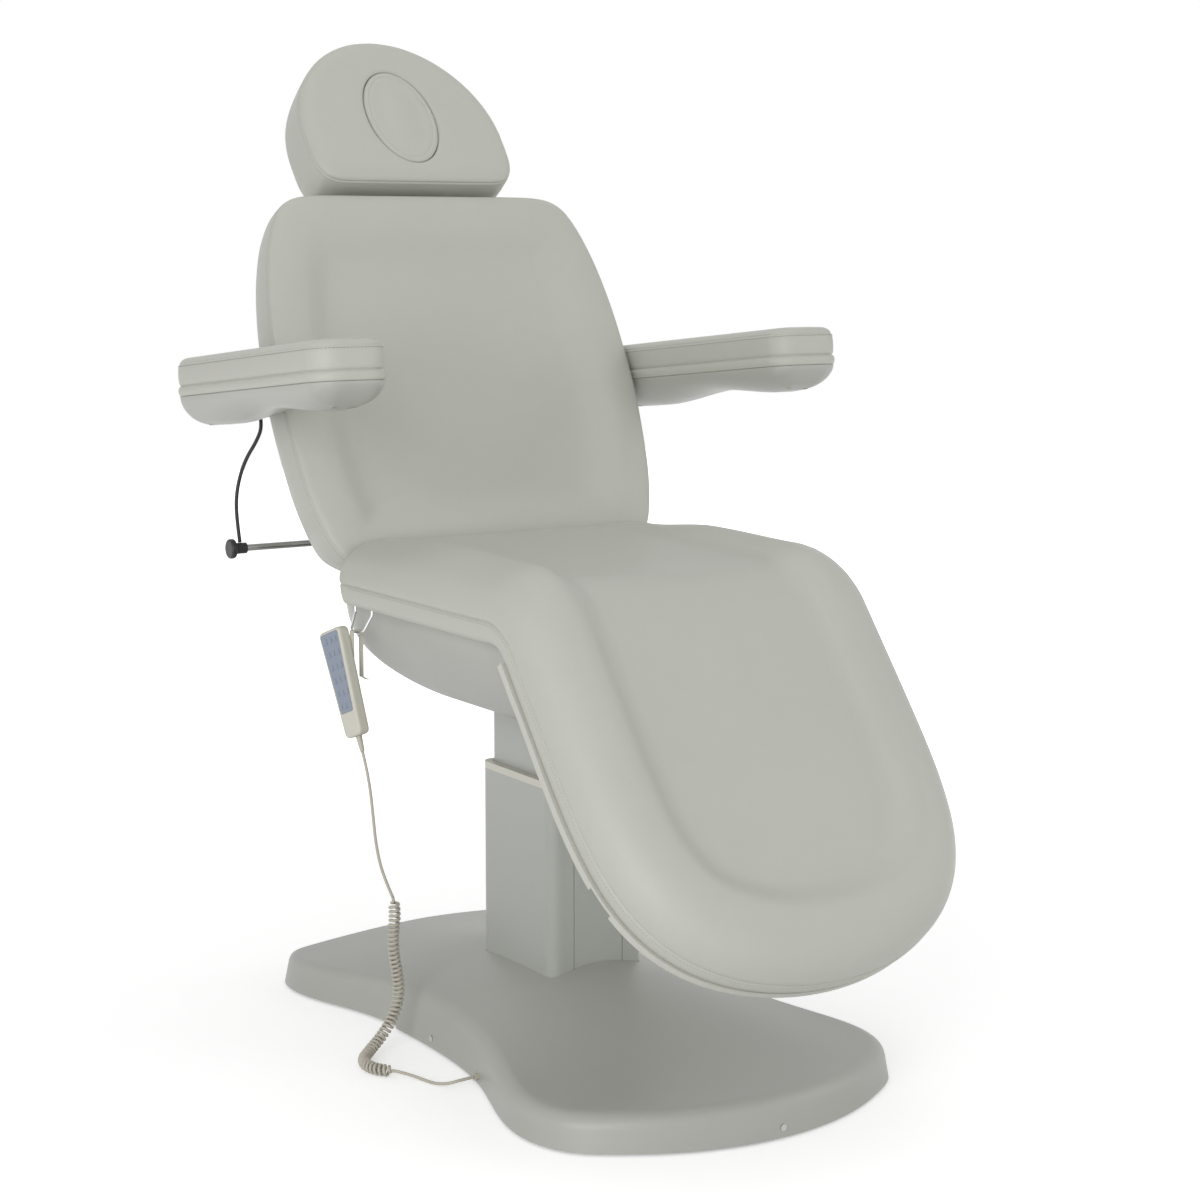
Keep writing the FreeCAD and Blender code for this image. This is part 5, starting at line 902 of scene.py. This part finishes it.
def rounded_bar(half, nose, tail, corner, per_corner=18, per_side=48):
    """Plan outline of a bar with round corners, with its outward normals; goes round anticlockwise."""
    turn = np.linspace(0, np.pi / 2, per_corner)
    middles = [(half - corner, nose + corner, -np.pi / 2), (half - corner, tail - corner, 0),
               (-half + corner, tail - corner, np.pi / 2), (-half + corner, nose + corner, np.pi)]
    arcs, normals = [], []
    for x, y, first in middles:
        way = np.stack([np.cos(turn + first), np.sin(turn + first)], -1)
        arcs.append((x, y) + corner * way)
        normals.append(way)
    points, away = [], []
    for k, steps in enumerate((per_side, 8, per_side, 8)):
        following = arcs[(k + 1) % 4][0]
        inner = np.linspace(0, 1, steps + 2)[1:-1, None]
        points += [arcs[k], arcs[k][-1] + (following - arcs[k][-1]) * inner]
        away += [normals[k], np.repeat(normals[k][-1:], steps, 0)]
    return np.concatenate(points), np.concatenate(away)


arm_edge, arm_away = rounded_bar(ARM_HALF, ARM_NOSE, ARM_TAIL, ARM_CORNER)


def arm_grid(x_middle):
    """Profile from the crown down: soft roll, straight side, crease, bead, and in under the bead."""
    profile = np.array([
        (20, 69.6), (15, 69.0), (11.2, 67.9), (8.2, 66.4), (5.9, 64.6), (4.3, 62.7), (3.3, 61.0),
        (3.0, 60.2), (3.4, 59.6), (2.5, 58.9), (1.5, 57.6), (0.8, 55), (0.2, 51), (-0.2, 46),
        (-0.3, 40), (-0.1, 34), (0.4, 30), (1.0, 27.6), (2.0, 26.1), (3.4, 25.2), (1.8, 24.3),
        (0.1, 22.7), (-1.1, 20.3), (-1.6, 17.3), (-1.2, 14.2), (-0.5, 11.7), (0.3, 10.1), (1.1, 9.3),
        (7, 8.7)]) * MM
    plan = boxed_plan(arm_edge, arm_away, profile[:, 0], ARM_SPINE, FRONT_SHARES, REAR_SHARES)
    crown = profile[0, 1] + ARM_CROWN * (1 - np.array(FRONT_SHARES)[:, None] ** 2)
    height = boxed_heights(crown, profile[:, 1], profile[-1, 1], len(arm_edge))
    return placed(plan, height, ARM_MIDDLE, ARM_ALONG, ARM_UP, x_middle)


for side in ("left", "right"):
    x_middle = math.copysign(ARM_PIVOT[0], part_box(f"arm_pad_{side}")[0][0])
    arm = grid_piece(f"arm_upholstery_{side}", arm_grid(x_middle), vinyl)
    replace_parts(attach(arm, f"arm_{side}"), f"arm_pad_{side}", f"arm_rim_{side}")
    sewn = stitch_row(f"arm_stitches_{side}", *boxed_seam(
        arm_edge, arm_away, ARM_STITCH_INSET, ARM_STITCHES, ARM_MIDDLE, ARM_ALONG, ARM_UP, x_middle))
    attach(sewn, f"arm_{side}")

# %% [markdown]
# ## Arm shells
# Under each pad hangs a moulded shell, deep at the pivot, shallow in the middle and deep again before
# its nose. It has the pad's outline above and a round belly below, so one depth along the arm,
# rolled in from the outline, gives the whole form.

# %% Arm shells
SHELL_TOP = 0.0088
SHELL_ROLL = 0.052
SHELL_NOSE, SHELL_NOSE_RUN = 0.42, 0.085   # share of the depth left at the nose, and length of the rise
SHELL_TAIL, SHELL_TAIL_RUN = 0.55, 0.050
SHELL_EDGE = 0.00075             # inset of the shell's upper edge
SHELL_LIP = 0.04                 # share of the depth that the upright lip takes
SHELL_INSETS = ARM_HALF * np.array([
    0.03, 0.012, 0.012, 0.014, 0.02, 0.035, 0.06, 0.1, 0.15, 0.21, 0.28, 0.36, 0.45, 0.55, 0.66, 0.77])


def shell_depth(along):
    """47 mm near the tail, 30 in the middle, 40 before the nose, then a quarter ellipse to each end."""
    places = np.array([ARM_NOSE, ARM_NOSE + 0.075, ARM_NOSE + 0.235, ARM_TAIL - 0.10, ARM_TAIL + 0.01])
    depth = stepped(along, places, np.array([0.040, 0.040, 0.030, 0.047, 0.047]))
    to_nose = rolled((along - ARM_NOSE) / SHELL_NOSE_RUN)
    to_tail = rolled((ARM_TAIL - along) / SHELL_TAIL_RUN)
    return depth * (SHELL_NOSE + (1 - SHELL_NOSE) * to_nose) * (SHELL_TAIL + (1 - SHELL_TAIL) * to_tail)


def shell_grid(x_middle):
    """Rows: middle of the top, out to the edge, then inwards with height top - depth * rolled(inset)."""
    plan = boxed_plan(arm_edge, arm_away, SHELL_INSETS, ARM_SPINE, REAR_SHARES, REAR_SHARES)
    rim = rolled(np.maximum(SHELL_INSETS - SHELL_EDGE, 0) / SHELL_ROLL)
    rim[:3] = (0, 0, SHELL_LIP)
    top = np.zeros((len(REAR_SHARES), 1))
    share = boxed_heights(top, rim, 1.0, len(arm_edge))
    height = SHELL_TOP - shell_depth(plan[..., 1]) * share
    return placed(plan, height, ARM_MIDDLE, ARM_ALONG, ARM_UP, x_middle)


for side in ("left", "right"):
    x_middle = math.copysign(ARM_PIVOT[0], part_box(f"arm_shell_{side}")[0][0])
    shell = grid_piece(f"arm_shell_moulding_{side}", shell_grid(x_middle), finishes["cover_plastic"])
    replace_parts(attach(shell, f"arm_{side}"), f"arm_shell_{side}")

# %% [markdown]
# ## Floor and light
# A pale floor, a white surround and three large soft lamps at a plain level. The floor shows the
# camera part of its own white, so that it stays pale while it keeps the shadow.

# %% Floor and lamps
FLOOR_HALF = 9.0
FLOOR_GLOW = 0.40                # white that the floor adds for the camera beside the chair
GLOW_NEAR, GLOW_FAR = 0.9, 2.6   # between these distances it grows to full white
SURROUND_LIGHT = 0.52


def ray_share(tree):
    """1 where the ray comes from the camera, a mirror or a clear body, else 0."""
    rays = tree.nodes.new("ShaderNodeLightPath")
    share = rays.outputs["Is Camera Ray"]
    for label in ("Is Glossy Ray", "Is Transmission Ray"):
        share = math_node(tree, "MAXIMUM", share, rays.outputs[label])
    return share


def white_surround(strength):
    """World: white at the given strength for lighting, and at 1 where it is seen."""
    world = bpy.data.worlds.new("white_surround")
    world.use_nodes = True
    tree = world.node_tree
    light = tree.nodes["Background"]
    set_inputs(tree, light, {"Color": (1, 1, 1, 1), "Strength": strength})
    seen = add_node(tree, "ShaderNodeBackground", {"Color": (1, 1, 1, 1)})
    mix = add_node(tree, "ShaderNodeMixShader", {
        "Fac": ray_share(tree), 1: light.outputs[0], 2: seen.outputs[0]})
    set_inputs(tree, tree.nodes["World Output"], {"Surface": mix.outputs[0]})
    bpy.context.scene.world = world


def pale_floor():
    """A wide square at height 0, white and matt; for the camera it adds its own white, more further out."""
    corners = FLOOR_HALF * np.array([(-1, -1, 0), (1, -1, 0), (1, 1, 0), (-1, 1, 0)])
    white = finish("floor_white", (0.88, 0.88, 0.88), 0.9, 0.01, 0.7)
    tree = white.node_tree
    reach = add_node(tree, "ShaderNodeVectorMath", {0: tree.nodes["Texture Coordinate"].outputs["Object"]},
                     operation="LENGTH")
    further = add_node(tree, "ShaderNodeMapRange", {
        "Value": reach.outputs["Value"], "From Min": GLOW_NEAR, "From Max": GLOW_FAR,
        "To Min": FLOOR_GLOW, "To Max": 1.0}, interpolation_type="SMOOTHSTEP")
    glow = math_node(tree, "MULTIPLY", ray_share(tree), further.outputs["Result"])
    seen = add_node(tree, "ShaderNodeEmission", {"Strength": glow})
    both = add_node(tree, "ShaderNodeAddShader", {
        0: tree.nodes["Principled BSDF"].outputs[0], 1: seen.outputs[0]})
    set_inputs(tree, tree.nodes["Material Output"], {"Surface": both.outputs[0]})
    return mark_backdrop(new_piece("floor", corners, np.array([[0, 1, 2, 3]]), white))


def soft_lamp(name, place, aim, size, power):
    """A square area lamp at a place, looking at a point."""
    data = bpy.data.lights.new(name, "AREA")
    data.size = size
    data.energy = power
    lamp = bpy.data.objects.new(name, data)
    lamp.location = place
    way = np.array(aim) - np.array(place)
    flat = math.hypot(way[0], way[1])
    lamp.rotation_euler = (math.atan2(flat, -way[2]), 0, math.atan2(way[1], way[0]) - math.pi / 2)
    bpy.context.scene.collection.objects.link(lamp)


bpy.context.scene.view_settings.view_transform = "Standard"
white_surround(SURROUND_LIGHT)
pale_floor()
soft_lamp("lamp_front", (-3.6, -3.0, 1.8), (0, 0, 0.8), 2.6, 92)
soft_lamp("lamp_side", (3.4, -2.2, 1.9), (0, 0, 0.8), 2.4, 24)
soft_lamp("lamp_top", (0.3, 0.4, 4.2), (0, 0, 0.6), 2.6, 16)
print("lamps placed")
